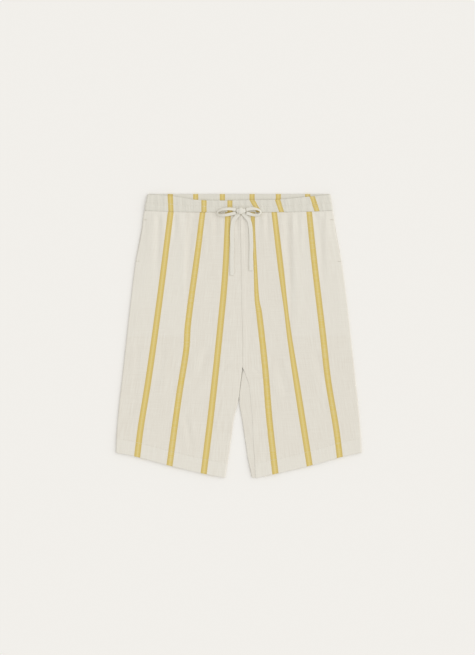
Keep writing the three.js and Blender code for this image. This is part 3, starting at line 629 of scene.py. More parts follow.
# Light linen and cotton plain weave, yarn dyed: uneven yarns both ways, matt, with narrow yellow
# stripes of thicker yarn. The real threads are 0.4 mm apart and are drawn three times as coarse.
def yarn_dyed_weave(name, colours, ground):
    material, tree = new_material(name)
    cloth = add_node(tree, "ShaderNodeUVMap", uv_map="Cloth")
    axes = add_node(tree, "ShaderNodeSeparateXYZ", {"Vector": cloth})
    across, along = axes.outputs["X"], axes.outputs["Y"]
    yarns = []
    for across_size, along_size in ((THREAD_PITCH, SLUB_LENGTH), (SLUB_LENGTH, THREAD_PITCH)):
        stretched = add_node(tree, "ShaderNodeVectorMath", {
            0: cloth, 1: (1 / across_size, 1 / along_size, 1),
        }, operation="MULTIPLY")
        yarns.append(add_node(tree, "ShaderNodeTexNoise", {
            "Vector": stretched, "Scale": 1.0, "Detail": 1.0, "Roughness": 0.6,
        }))
    weft = add_node(tree, "ShaderNodeMath", {0: yarns[1], 1: WEFT_SHARE}, operation="MULTIPLY")
    both = add_node(tree, "ShaderNodeMath", {
        0: yarns[0], 1: 1 - WEFT_SHARE, 2: weft,
    }, operation="MULTIPLY_ADD")
    tone = add_node(tree, "ShaderNodeMapRange", {
        "Value": both, "From Min": 0.32, "From Max": 0.68, "To Min": 0.0, "To Max": 1.0,
    })
    plain = add_node(tree, "ShaderNodeMix", {
        "Factor": tone, 6: linear(ground[0]), 7: linear(ground[1]),
    }, data_type="RGBA")
    backing = add_node(tree, "ShaderNodeAttribute", attribute_name="Backing")
    plain = add_node(tree, "ShaderNodeMix", {
        "Factor": backing.outputs["Fac"], 6: plain.outputs[2], 7: linear(colours.backed),
    }, data_type="RGBA")
    distance = add_node(tree, "ShaderNodeMath", {0: across, 1: STRIPE_PITCH / 2}, operation="PINGPONG")
    wobble = add_node(tree, "ShaderNodeMapRange", {
        "Value": yarns[1], "From Min": 0.3, "From Max": 0.7, "To Min": -0.0003, "To Max": 0.0003,
    })
    distance = add_node(tree, "ShaderNodeMath", {0: distance, 1: wobble}, operation="ADD")
    stripe = add_node(tree, "ShaderNodeMapRange", {
        "Value": distance, "From Min": STRIPE_HALF - 0.0005, "From Max": STRIPE_HALF + 0.0004,
        "To Min": 1.0, "To Max": 0.0,
    }, interpolation_type="SMOOTHSTEP")
    edge = add_node(tree, "ShaderNodeMapRange", {
        "Value": distance, "From Min": 0.0026, "From Max": 0.0046, "To Min": 0.0, "To Max": 1.0,
    }, interpolation_type="SMOOTHSTEP")
    centre = add_node(tree, "ShaderNodeMapRange", {
        "Value": distance, "From Min": 0.0006, "From Max": 0.0016, "To Min": 1.0, "To Max": 0.0,
    }, interpolation_type="SMOOTHSTEP")
    yellow = add_node(tree, "ShaderNodeMix", {
        "Factor": edge, 6: linear(colours.stripe), 7: linear(colours.stripe_edge),
    }, data_type="RGBA")
    yellow = add_node(tree, "ShaderNodeMix", {
        "Factor": centre, 6: yellow.outputs[2], 7: linear(colours.stripe_centre),
    }, data_type="RGBA")
    faded = add_node(tree, "ShaderNodeMapRange", {
        "Value": yarns[1], "From Min": 0.3, "From Max": 0.7, "To Min": 0.82, "To Max": 1.0,
    })
    amount = add_node(tree, "ShaderNodeMath", {0: stripe, 1: faded}, operation="MULTIPLY")
    colour = add_node(tree, "ShaderNodeMix", {
        "Factor": amount, 6: plain.outputs[2], 7: yellow.outputs[2],
    }, data_type="RGBA")
    waves = []
    for axis in (across, along):
        turns = add_node(tree, "ShaderNodeMath", {
            0: axis, 1: 2 * math.pi / THREAD_PITCH,
        }, operation="MULTIPLY")
        waves.append(add_node(tree, "ShaderNodeMath", {0: turns}, operation="SINE"))
    weave = add_node(tree, "ShaderNodeMath", {0: waves[0], 1: waves[1]}, operation="MULTIPLY")
    height = add_node(tree, "ShaderNodeMath", {0: weave, 1: 0.35, 2: both}, operation="MULTIPLY_ADD")
    bump = add_node(tree, "ShaderNodeBump", {
        "Strength": 0.5, "Distance": 0.00025, "Height": height,
    })
    finish_material(tree, colour.outputs[2], 0.88, bump)
    return material


# Narrow cotton tape, plain woven with firm edges: small ribs across it, softer and whiter than
# the cloth
def woven_tape(name, hex_light, hex_dark):
    material, tree = new_material(name)
    cloth = add_node(tree, "ShaderNodeUVMap", uv_map="Cloth")
    axes = add_node(tree, "ShaderNodeSeparateXYZ", {"Vector": cloth})
    turns = add_node(tree, "ShaderNodeMath", {
        0: axes.outputs["Y"], 1: 2 * math.pi / THREAD_PITCH,
    }, operation="MULTIPLY")
    rib = add_node(tree, "ShaderNodeMath", {0: turns}, operation="SINE")
    stretched = add_node(tree, "ShaderNodeVectorMath", {
        0: cloth, 1: (1 / 0.0008, 1 / 0.006, 1),
    }, operation="MULTIPLY")
    yarn = add_node(tree, "ShaderNodeTexNoise", {"Vector": stretched, "Scale": 1.0, "Detail": 2.0})
    colour = add_node(tree, "ShaderNodeMix", {
        "Factor": yarn, 6: linear(hex_dark), 7: linear(hex_light),
    }, data_type="RGBA")
    height = add_node(tree, "ShaderNodeMath", {0: rib, 1: 0.4, 2: yarn}, operation="MULTIPLY_ADD")
    bump = add_node(tree, "ShaderNodeBump", {
        "Strength": 0.6, "Distance": 0.0002, "Height": height,
    })
    finish_material(tree, colour.outputs[2], 0.85, bump)
    return material


# Spun polyester sewing thread: two plies twisted together, a little glossier than the cloth
def sewing_thread(name, hex_light, hex_dark):
    material, tree = new_material(name)
    place = add_node(tree, "ShaderNodeTexCoord")
    twist = add_node(tree, "ShaderNodeTexWave", {
        "Vector": place.outputs["Object"], "Scale": 900.0, "Distortion": 1.0,
    }, bands_direction="DIAGONAL")
    colour = add_node(tree, "ShaderNodeMix", {
        "Factor": twist.outputs["Fac"], 6: linear(hex_dark), 7: linear(hex_light),
    }, data_type="RGBA")
    bump = add_node(tree, "ShaderNodeBump", {
        "Strength": 0.4, "Distance": 0.0001, "Height": twist.outputs["Fac"],
    })
    finish_material(tree, colour.outputs[2], 0.6, bump, sheen=0.05)
    return material


# Matt painted board for the floor, evenly pale
def painted_board(name, hex_colour):
    material, tree = new_material(name)
    place = add_node(tree, "ShaderNodeTexCoord")
    grain = add_node(tree, "ShaderNodeTexNoise", {
        "Vector": place.outputs["Object"], "Scale": 40.0, "Detail": 3.0,
    })
    tone = add_node(tree, "ShaderNodeMapRange", {
        "Value": grain, "From Min": 0.3, "From Max": 0.7, "To Min": 0.998, "To Max": 1.0,
    })
    colour = add_node(tree, "ShaderNodeMix", {
        "Factor": 1.0, 6: linear(hex_colour), 7: tone,
    }, data_type="RGBA", blend_type="MULTIPLY")
    surface = add_node(tree, "ShaderNodeBsdfDiffuse", {"Color": colour.outputs[2]})
    add_node(tree, "ShaderNodeOutputMaterial", {"Surface": surface})
    return material


# Settings that a user would change
class ShortsSizes(bpy.types.PropertyGroup):
    """Sizes of the finish on the shorts."""

    shell: bpy.props.FloatProperty(
        name="Cloth thickness", description="Thickness of the shown cloth",
        default=0.0006, min=0.0002, max=0.001, unit="LENGTH", precision=5,
    )
    stitch: bpy.props.FloatProperty(
        name="Stitch length", description="Length of one lockstitch with its gap",
        default=0.0036, min=0.002, max=0.006, unit="LENGTH", precision=5,
    )
    thread: bpy.props.FloatProperty(
        name="Thread thickness", description="Thickness of the sewing thread",
        default=0.0005, min=0.0002, max=0.001, unit="LENGTH", precision=5,
    )
    tape_width: bpy.props.FloatProperty(
        name="Drawstring width", description="Width of the drawstring tape",
        default=0.008, min=0.004, max=0.012, unit="LENGTH", precision=4,
    )
    camera_height: bpy.props.FloatProperty(
        name="Camera height", description="Height of the camera over the floor",
        default=6.0, min=2.0, max=20.0, unit="LENGTH",
    )
    key_strength: bpy.props.FloatProperty(
        name="Key strength", description="Strength of the broad studio light from the right",
        default=0.95, min=0.0, max=20.0,
    )
    fill_strength: bpy.props.FloatProperty(
        name="Fill strength", description="Strength of the even light from all round",
        default=0.76, min=0.0, max=2.0,
    )


class ShortsColours(bpy.types.PropertyGroup):
    """Colours of the shorts, as sRGB hex values."""

    cloth_light: bpy.props.StringProperty(
        name="Cloth, light yarn", description="Lightest yarn of the ground", default="#E9E5DA",
    )
    cloth_dark: bpy.props.StringProperty(
        name="Cloth, dark yarn", description="Darkest yarn of the ground", default="#E0DACE",
    )
    # The waistband's two yarns are the cloth's ground painted a little darker, as painted shade between
    # the puckers of the drawn-in band
    band_light_with_painted_shade: bpy.props.StringProperty(
        name="Waistband, light yarn", description="Lightest yarn of the drawn-in waistband",
        default="#E4E1D6",
    )
    band_dark_with_painted_shade: bpy.props.StringProperty(
        name="Waistband, dark yarn", description="Darkest yarn of the drawn-in waistband",
        default="#DAD6CA",
    )
    backed: bpy.props.StringProperty(
        name="Cloth over more cloth", description="Ground where layers lie under it",
        default="#E9E6DC",
    )
    stripe: bpy.props.StringProperty(
        name="Stripe", description="Yellow of the stripes", default="#DBC267",
    )
    stripe_edge: bpy.props.StringProperty(
        name="Stripe edge", description="Deeper yellow along a stripe's edges", default="#D0B55C",
    )
    stripe_centre: bpy.props.StringProperty(
        name="Stripe centre", description="Paler yarn along a stripe's middle", default="#E0CB82",
    )
    tape_light: bpy.props.StringProperty(
        name="Tape, light", description="Light yarn of the drawstring", default="#ECE9DF",
    )
    tape_dark: bpy.props.StringProperty(
        name="Tape, dark", description="Dark yarn of the drawstring", default="#DEDACE",
    )
    floor: bpy.props.StringProperty(
        name="Floor", description="Colour of the plain floor", default="#F5F3EF",
    )


def sizes():
    return bpy.context.scene.shorts_sizes


def colours():
    return bpy.context.scene.shorts_colours


def cloth_material():
    found = bpy.data.materials.get("Yarn_Dyed_Linen_Cotton")
    ground = (colours().cloth_dark, colours().cloth_light)
    return found or yarn_dyed_weave("Yarn_Dyed_Linen_Cotton", colours(), ground)


# The same cloth drawn in on elastic, its ground painted a little darker as painted shade for the shade
# between its puckers
def band_material_with_painted_shade():
    ground = (colours().band_dark_with_painted_shade, colours().band_light_with_painted_shade)
    return yarn_dyed_weave("Yarn_Dyed_Linen_Cotton_Gathered", colours(), ground)


def tape_material():
    found = bpy.data.materials.get("Woven_Cotton_Tape")
    return found or woven_tape("Woven_Cotton_Tape", colours().tape_light, colours().tape_dark)


def thread_material():
    found = bpy.data.materials.get("Polyester_Sewing_Thread")
    return found or sewing_thread("Polyester_Sewing_Thread", "#E9E5DA", "#D5D0C2")


# Studio
PHOTO_WIDTH_PX = 475
PHOTO_HEIGHT_PX = 655
PIXEL = 0.002
VIEW_CENTRE = (-0.0025, 0.0162)
SENSOR = 0.036
KEY_FROM = Vector((1.6, 0.35, 1.6))
KEY_SPREAD = math.radians(75)
FLOOR_SIZE = 14.0
FLOOR_UNDER = 0.0001


class SHORTS_OT_studio(bpy.types.Operator):
    """Put up the camera, the floor and the lights."""

    bl_idname = "shorts.studio"
    bl_label = "Studio"

    def execute(self, context):
        deselect()
        height = sizes().camera_height
        camera = bpy.data.cameras.new("Camera")
        camera.sensor_width = SENSOR * 1000
        camera.lens = SENSOR * 1000 * height / (PHOTO_HEIGHT_PX * PIXEL)
        holder = bpy.data.objects.new("Camera", camera)
        holder.location = (*VIEW_CENTRE, height)
        context.collection.objects.link(holder)
        context.scene.camera = holder

        bpy.ops.mesh.primitive_plane_add(size=FLOOR_SIZE, location=(0, 0, -FLOOR_UNDER))
        floor = context.object
        floor.name = "Floor"
        floor.data.materials.append(painted_board("Painted_Board", colours().floor))

        lamp = bpy.data.lights.new("Key", "SUN")
        lamp.angle = KEY_SPREAD
        lamp.energy = sizes().key_strength
        stand = bpy.data.objects.new("Key", lamp)
        stand.location = KEY_FROM
        stand.rotation_euler = (-KEY_FROM).to_track_quat("-Z", "Y").to_euler()
        context.collection.objects.link(stand)

        world = context.scene.world or bpy.data.worlds.new("Studio_Air")
        context.scene.world = world
        world.use_nodes = True
        world.node_tree.nodes.clear()
        air = add_node(world.node_tree, "ShaderNodeBackground", {
            "Color": (1.0, 0.995, 0.985, 1.0), "Strength": sizes().fill_strength,
        })
        add_node(world.node_tree, "ShaderNodeOutputWorld", {"Surface": air})
        context.scene.view_settings.view_transform = "Standard"
        deselect()
        return {"FINISHED"}


# Drawstring
LOOP_WIDTH = 0.006
LOOP_THICKNESS = 0.0013
LOOP_LEAN = 1.0
LOOP_ARCH = 0.0016
TAPE_THICKNESS = 0.0012
CAD_TAPE_THICKNESS = 0.0016
CAD_LOOP_THICKNESS = 0.0024
CORE_SHARE = 0.86
WRAP_WIDTH = 0.0062
WRAP_TURN = math.radians(9)
WRAP_SHIFT = -0.0008


def resting_height(x, y, width):
    drop = LENGTH / 2 - y
    seam = float(seam_drop(1))
    if drop < seam + 0.004:
        return 2 * BAND + BAND_CLEARANCE + PUCKER.height
    dx, dy = np.meshgrid(np.linspace(-width / 2 - 0.004, width / 2 + 0.004, 9), [-0.005, 0, 0.005])
    below_seam = np.maximum(drop + dy - seam, 0)
    far = np.full(dx.shape, 1.0)
    return float(np.max(front_height(x + dx, drop + dy, below_seam, far, far)) + CLOTH / 2)


# A smooth curve through a route's places, as many points as asked, evenly spaced
def smooth_route(places, thickness, width, count):
    points = []
    for place in places:
        z = resting_height(place.x, place.y, width) + SEAM_GAP + thickness / 2 + place.lift
        points.append((place.x, place.y, z))
    points = np.array(points)
    ends = np.concatenate([[2 * points[0] - points[1]], points, [2 * points[-1] - points[-2]]])
    dense = []
    for a, b, c, d in zip(ends, ends[1:], ends[2:], ends[3:]):
        for t in np.linspace(0, 1, 24, endpoint=False):
            dense.append(0.5 * (2 * b + (c - a) * t + (2 * a - 5 * b + 4 * c - d) * t * t
                                + (3 * b - a - 3 * c + d) * t ** 3))
    dense.append(points[-1])
    dense = np.array(dense)
    run = np.concatenate([[0], np.cumsum(np.linalg.norm(np.diff(dense, axis=0), axis=1))])
    even = np.linspace(0, run[-1], count)
    return np.stack([np.interp(even, run, dense[:, i]) for i in range(3)], axis=1), run[-1]


def tape_mesh(name, route, width, thickness, lean=None):
    tangent = np.gradient(route, axis=0)
    tangent /= np.linalg.norm(tangent, axis=1, keepdims=True)
    side = np.cross(tangent, (0, 0, 1))
    side /= np.linalg.norm(side, axis=1, keepdims=True)
    up = np.cross(side, tangent)
    if lean is not None:
        cosine, sine = np.cos(lean)[:, None], np.sin(lean)[:, None]
        side, up = side * cosine + up * sine, up * cosine - side * sine
    turns = np.linspace(0, 2 * np.pi, 24, endpoint=False)
    power = 0.35
    flat = np.sign(np.cos(turns)) * np.abs(np.cos(turns)) ** power * width / 2
    tall = np.sign(np.sin(turns)) * np.abs(np.sin(turns)) ** 0.8 * thickness / 2
    tall *= 0.82 + 0.18 * (np.abs(flat) / (width / 2)) ** 2
    rings = (route[:, None] + side[:, None] * flat[None, :, None] + up[:, None] * tall[None, :, None])
    shrink = [0.55, 0.85]
    start = [route[0] + (rings[0] - route[0]) * s - tangent[0] * 0.0004 * (1 - s) for s in shrink]
    stop = [route[-1] + (rings[-1] - route[-1]) * s + tangent[-1] * 0.0004 * (1 - s) for s in shrink]
    rings = np.concatenate([[start[0], start[1]], rings, [stop[1], stop[0]]])
    rows, columns = rings.shape[:2]
    grid = np.arange(rows * columns).reshape(rows, columns)
    grid = np.concatenate([grid, grid[:, :1]], axis=1)
    faces = np.stack([grid[:-1, :-1], grid[1:, :-1], grid[1:, 1:], grid[:-1, 1:]], -1)
    faces = faces.reshape(-1, 4).tolist()
    faces += [grid[0, :-1].tolist(), grid[-1, :-1][::-1].tolist()]
    run = np.linspace(0, 1, rows) * np.linalg.norm(np.diff(route, axis=0), axis=1).sum()
    uvs = np.stack(np.broadcast_arrays(flat[None, :], run[:, None]), -1).reshape(-1, 2)
    return new_object(name, rings.reshape(-1, 3), faces, tape_material(), uvs)


class SHORTS_OT_drawstring(bpy.types.Operator):
    """Lay the drawstring: two free ends, two loops and the knot between them."""

    bl_idname = "shorts.drawstring"
    bl_label = "Drawstring"

    def execute(self, context):
        deselect()
        self.tie_knot(context)
        width = sizes().tape_width
        for name, node, places in (
            ("Drawstring_End_Left", "drawstring_end_left", LEFT_END),
            ("Drawstring_End_Right", "drawstring_end_right", RIGHT_END),
        ):
            route, length = smooth_route(places, CAD_TAPE_THICKNESS, width, 90)
            route = self.into_knot(route)
            length = np.linalg.norm(np.diff(route, axis=0), axis=1).sum()
            end = tape_mesh(name, route, width, TAPE_THICKNESS)
            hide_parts(node)
        for name, node, places in (
            ("Drawstring_Loop_Left", "drawstring_loop_left", LEFT_LOOP),
            ("Drawstring_Loop_Right", "drawstring_loop_right", RIGHT_LOOP),
        ):
            route, length = smooth_route(places, CAD_LOOP_THICKNESS, LOOP_WIDTH, 90)
            t = np.linspace(0, 1, len(route))
            arch = np.sin(np.pi * t) ** 2
            lean = LOOP_LEAN * arch * (-1 if node.endswith("left") else 1)
            route[:, 2] += LOOP_ARCH * arch
            loop = tape_mesh(name, route, LOOP_WIDTH, LOOP_THICKNESS, lean)
            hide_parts(node)
        deselect()
        return {"FINISHED"}

    # The tape's first stretch, which the knot hides
    def into_knot(self, route):
        inside = Vector((lerp(KNOT.x, route[0][0], 0.4), KNOT.y - 0.001, route[0][2] + 0.0012))
        steps = np.linspace(0, 1, 6, endpoint=False)[:, None]
        return np.concatenate([lerp(np.array(inside), route[0], steps), route])

    def tie_knot(self, context):
        z = resting_height(KNOT.x, KNOT.y, KNOT_WIDTH) + SEAM_GAP + KNOT_HEIGHT / 2
        bpy.ops.mesh.primitive_uv_sphere_add(segments=32, ring_count=24, radius=0.5)
        knot = context.object
        knot.name = "Drawstring_Knot"
        knot.data.name = "Drawstring_Knot"
        points = np.empty(len(knot.data.vertices) * 3)
        knot.data.vertices.foreach_get("co", points)
        points = points.reshape(-1, 3)
        along = points[:, 2] * 2
        ring = 1 + 0.10 * np.cos(along * 2.6 * np.pi) * (1 - along ** 4)
        squared = np.sign(points) * np.abs(points * 2) ** 0.8 / 2
        angle = np.arctan2(squared[:, 1], squared[:, 0])
        crease = 1 + 0.05 * np.sin(3 * angle + 4 * along)
        shaped = np.stack([
            squared[:, 2] * KNOT_LENGTH,
            squared[:, 1] * KNOT_WIDTH * ring * crease * CORE_SHARE,
            squared[:, 0] * KNOT_HEIGHT * ring * crease * CORE_SHARE,
        ], axis=1)
        shaped += (KNOT.x, KNOT.y, z)
        knot.data.vertices.foreach_set("co", shaped.ravel())
        knot.data.update()
        self.lay_tape_pattern(knot, np.stack([shaped[:, 1], shaped[:, 0]], axis=1))
        wrap = self.wrap_knot(context, z)
        bpy.ops.object.select_all(action="DESELECT")
        wrap.select_set(True)
        knot.select_set(True)
        context.view_layer.objects.active = knot
        bpy.ops.object.join()
        bpy.ops.object.mode_set(mode="EDIT")
        bpy.ops.mesh.select_all(action="SELECT")
        bpy.ops.mesh.normals_make_consistent(inside=False)
        bpy.ops.object.mode_set(mode="OBJECT")
        bpy.ops.object.shade_smooth()
        knot.data.materials.append(tape_material())
        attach(knot, "root")
        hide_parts("drawstring_knot")

    # The turn of tape that holds the loops together
    def wrap_knot(self, context, z):
        deselect()
        bpy.ops.mesh.primitive_cylinder_add(
            vertices=48, radius=0.5, depth=WRAP_WIDTH, end_fill_type="NOTHING",
            rotation=(0, math.pi / 2, 0),
        )
        wrap = context.object
        bpy.ops.object.transform_apply(location=True, rotation=True, scale=True)
        bpy.ops.object.mode_set(mode="EDIT")
        bpy.ops.mesh.select_all(action="SELECT")
        bpy.ops.transform.resize(value=(1, KNOT_WIDTH, KNOT_HEIGHT))
        for share in (-0.3, 0.3):
            bpy.ops.mesh.select_all(action="SELECT")
            bpy.ops.mesh.bisect(plane_co=(share * WRAP_WIDTH, 0, 0), plane_no=(1, 0, 0))
        select_points(wrap, lambda place: abs(place.x) > 0.4 * WRAP_WIDTH)
        bpy.ops.transform.resize(value=(1, 0.95, 0.92))
        bpy.ops.mesh.select_all(action="SELECT")
        bpy.ops.mesh.normals_make_consistent(inside=False)
        bpy.ops.object.mode_set(mode="OBJECT")
        thick = wrap.modifiers.new("Tape", "SOLIDIFY")
        thick.thickness = TAPE_THICKNESS
        thick.offset = -0.2
        soft = wrap.modifiers.new("Firm_Edge", "BEVEL")
        soft.width = TAPE_THICKNESS * 0.35
        soft.segments = 2
        soft.limit_method = "ANGLE"
        for modifier in ("Tape", "Firm_Edge"):
            bpy.ops.object.modifier_apply(modifier=modifier)
        places = np.array([vertex.co[:] for vertex in wrap.data.vertices])
        turn = np.arctan2(places[:, 1], places[:, 2]) * KNOT_WIDTH / 2
        self.lay_tape_pattern(wrap, np.stack([places[:, 0], turn], axis=1))
        bpy.ops.object.mode_set(mode="EDIT")
        bpy.ops.mesh.select_all(action="SELECT")
        bpy.ops.transform.rotate(value=WRAP_TURN, orient_axis="Z", center_override=(0, 0, 0))
        bpy.ops.transform.translate(value=(KNOT.x + WRAP_SHIFT, KNOT.y, z))
        bpy.ops.object.mode_set(mode="OBJECT")
        return wrap

    def lay_tape_pattern(self, piece, pattern):
        layer = piece.data.uv_layers[0]
        layer.name = "Cloth"
        loops = np.empty(len(piece.data.loops), int)
        piece.data.loops.foreach_get("vertex_index", loops)
        layer.data.foreach_set("uv", pattern[loops].astype(np.float32).ravel())


# Leg panels
def panel_columns(edge, middle, inner):
    return np.concatenate([
        np.linspace(0, OUTER_SHARE, edge, endpoint=False),
        np.linspace(OUTER_SHARE, 1 - INNER_SHARE, middle, endpoint=False),
        np.linspace(1 - INNER_SHARE, 1, inner),
    ])


def panel_rows(gathered, leg, near_hem):
    return np.concatenate([
        np.linspace(0, 0.16, gathered, endpoint=False),
        np.linspace(0.16, 0.97, leg, endpoint=False),
        np.linspace(0.97, 1, near_hem, endpoint=False),
        np.linspace(1, 1.22, near_hem // 2, endpoint=False),
        np.linspace(1.22, 2, 8, endpoint=False),
        np.linspace(2, 3, 8, endpoint=False),
        np.linspace(3, 4, 7),
    ])


def front_uv(leg):
    def read(u, v):
        points, drop, _ = panel_point(leg, True, u, v)
        return np.stack([front_cloth_u(leg, points[..., 0], drop), drop], axis=-1)
    return read


def back_uv(leg):
    def read(u, v):
        points, drop, across = panel_point(leg, False, u, v)
        return np.stack([back_cloth_u(points, across), drop], axis=-1)
    return read


def backing(leg):
    def read(u, v):
        points, drop, across = panel_point(leg, True, u, v)
        above_hem = hem_drop(across) - drop
        hem = 1 - smoothstep(above_hem, HEM_TURN - 0.001, HEM_TURN + 0.001)
        return np.maximum(0.35 * hem, 0.3 * pocket_lift(points[..., 0], drop))
    return read


class SHORTS_OT_legs(bpy.types.Operator):
    """Cut the four leg panels and turn up their hems."""

    bl_idname = "shorts.legs"
    bl_label = "Leg panels"

    def execute(self, context):
        deselect()
        thickness = sizes().shell
        for leg in (LEFT, RIGHT):
            for is_front in (True, False):
                half = "front" if is_front else "back"
                name = f"Leg_{half.title()}_{leg.name.title()}"
                edge = (12, 96, 22) if is_front else (10, 50, 30)
                rows = panel_rows(44, 110, 14) if is_front else panel_rows(12, 90, 10)
                lift = 0 if is_front else 0.00015
                piece = shell(
                    name,
                    lambda u, v, leg=leg, is_front=is_front: panel_point(leg, is_front, u, v),
                    panel_columns(*edge), rows,
                    -1 if (leg is LEFT) == is_front else 1,
                    lambda v, lift=lift: CLOTH / 2 - lift + 0 * v,
                    lambda v, lift=lift: CLOTH / 2 - lift - thickness + 0 * v,
                    cloth_material(),
                    front_uv(leg) if is_front else back_uv(leg),
                    attributes={"Backing": backing(leg)} if is_front else None,
                )
                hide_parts(f"{half}_{leg.name}")
        return {"FINISHED"}


# Waistband
BAND_STITCH_AT = 0.48


class SHORTS_OT_waistband(bpy.types.Operator):
    """Gather the waistband on its elastic."""

    bl_idname = "shorts.waistband"
    bl_label = "Waistband"

    def execute(self, context):
        deselect()
        us = np.concatenate([
            np.linspace(0, BAND_BACK_END, 150, endpoint=False),
            np.linspace(BAND_BACK_END, BAND_FRONT_START, 16, endpoint=False),
            np.linspace(BAND_FRONT_START, BAND_FRONT_END, 330, endpoint=False),
            np.linspace(BAND_FRONT_END, 1, 16, endpoint=False),
        ])
        vs = np.concatenate([np.linspace(0, 0.42, 12, endpoint=False),
                             np.linspace(0.42, 0.54, 10, endpoint=False), np.linspace(0.54, 1, 14)])

        def outer(v):
            soft = 1 - 0.35 * np.exp(-((1 - v) / 0.09) ** 2) - 0.6 * np.exp(-((v / 0.10) ** 2))
            stitched = 0.22 * np.exp(-(((v - BAND_STITCH_AT) / 0.035) ** 2))
            return BAND / 2 * (soft - stitched)

        def uv(u, v):
            _, x, front = band_point(u, v)
            sets = []
            for stripes in (BAND_BACK_STRIPES, BAND_FRONT_STRIPES):
                centres = [lerp(stripe.bottom_x, stripe.top_x, v) for stripe in stripes]
                halves = [BAND_STRIPE_HALF] * len(stripes)
                sets.append(cloth_coordinate(x, centres, halves))
            across = np.where(front > 0.5, sets[1], sets[0])
            return np.stack([across, 0.036 * (1 - v)], axis=-1)

        band = shell("Waistband", lambda u, v: band_point(u, v)[:1], us, vs, -1, outer,
                     lambda v: -BAND / 2 * (1 - 0.25 * np.exp(-((1 - v) / 0.09) ** 2)),
                     band_material_with_painted_shade(), uv, loop=True)
        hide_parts("waistband")
        return {"FINISHED"}


# Pocket bags
class SHORTS_OT_pockets(bpy.types.Operator):
    """Slip a pocket bag between the layers of each leg."""

    bl_idname = "shorts.pockets"
    bl_label = "Pocket bags"

    def execute(self, context):
        deselect()
        for leg in (LEFT, RIGHT):
            rows, columns = 60, 26
            v, u = np.meshgrid(np.linspace(0, 1, rows), np.linspace(0, 1, columns), indexing="ij")
            drop = lerp(POCKET_TOP, POCKET_BOTTOM, v)
            from_bottom = POCKET_BOTTOM - drop
            inside = np.clip(1 - from_bottom / POCKET_CORNER, 0, 1)
            corner = POCKET_CORNER * (1 - np.sqrt(1 - inside ** 2 * 0.998))
            outer_x = leg.outer(drop) + leg.inward * POCKET_SIDE_MARGIN
            inner_x = -leg.inward * (POCKET_INNER_X + corner)
            x = lerp(outer_x, inner_x, u)
            low = CLOTH + SEAM_GAP + 0.0001
            ripple = 0.0001 * np.sin(x / 0.009) * np.sin(drop / 0.013)
            top = np.stack([x, LENGTH / 2 - drop, low + 0.0007 + ripple], axis=-1)
            bottom = np.stack([x, LENGTH / 2 - drop, low + 0 * x], axis=-1)
            vertices = np.concatenate([top.reshape(-1, 3), bottom.reshape(-1, 3)])
            uvs = np.concatenate([np.stack([0.034 + 0.02 * u, drop], -1).reshape(-1, 2)] * 2)
            faces = shell_faces(rows, columns, False, flip=leg is LEFT)
            bag = new_object(f"Pocket_Bag_{leg.name.title()}", vertices, faces, cloth_material(), uvs)
            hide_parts(f"pocket_bag_{leg.name}")
        return {"FINISHED"}


# Sewing
STITCH_SIDES = 6
STITCH_SHARE = 0.78
BARTACK_LENGTH = 0.0065
BARTACK_STITCHES = 13
BARTACK_STITCH = 0.0018
BARTACK_INSET = 0.0045
BARTACK_DROPS = (0.052, 0.135)


# One lockstitch along X, arched over the cloth, with both ends pulled down into it
def model_stitch(length, thread):
    deselect()
    bpy.ops.mesh.primitive_cylinder_add(
        vertices=STITCH_SIDES, radius=thread / 2, depth=length, rotation=(0, math.pi / 2, 0),
    )
    stitch = bpy.context.object
    bpy.ops.object.transform_apply(location=True, rotation=True, scale=True)
    bpy.ops.object.mode_set(mode="EDIT")
    for share in (-0.3, 0, 0.3):
        bpy.ops.mesh.select_all(action="SELECT")
        bpy.ops.mesh.bisect(plane_co=(share * length, 0, 0), plane_no=(1, 0, 0))
    select_points(stitch, lambda place: abs(place.x) > 0.45 * length)
    bpy.ops.transform.resize(value=(1, 0.6, 0.6))
    bpy.ops.transform.translate(value=(0, 0, -0.45 * thread))
    select_points(stitch, lambda place: abs(place.x) < 0.1 * length)
    bpy.ops.transform.translate(value=(0, 0, 0.12 * thread))
    bpy.ops.object.mode_set(mode="OBJECT")
    points = np.array([vertex.co[:] for vertex in stitch.data.vertices])
    faces = [list(polygon.vertices) for polygon in stitch.data.polygons]
    bpy.data.objects.remove(stitch, do_unlink=True)
    return points, faces


# Copies of the stitch at all places, joined into one mesh
def sew(name, stitch, places, directions, normals):
    points, faces = stitch
    across = np.cross(normals, directions)
    copies = (
        places[:, None]
        + points[None, :, :1] * directions[:, None]
        + points[None, :, 1:2] * across[:, None]
        + points[None, :, 2:] * normals[:, None]
    )
    joined = [[i * len(points) + k for k in face] for i in range(len(places)) for face in faces]
    return new_object(name, copies.reshape(-1, 3), joined, thread_material())


# Evenly spaced places on a surface along one line of constant v
def stitch_line(point, start, end, v, way, lift, spacing):
    u = np.linspace(start, end, 3000)[None]
    run = point(u, np.full(u.shape, v))[0][0]
    length = np.concatenate([[0], np.cumsum(np.linalg.norm(np.diff(run, axis=0), axis=1))])
    at = np.interp(np.arange(spacing / 2, length[-1], spacing), length, u[0])[None]
    level = np.full(at.shape, v)
    normals = surface_normals(point, at, level, False, 4)[0] * way
    step = 1e-4
    ahead = point(at + step, level)[0][0] - point(at - step, level)[0][0]
    directions = ahead / np.linalg.norm(ahead, axis=1, keepdims=True)
    return point(at, level)[0][0] + normals * lift, directions, normals


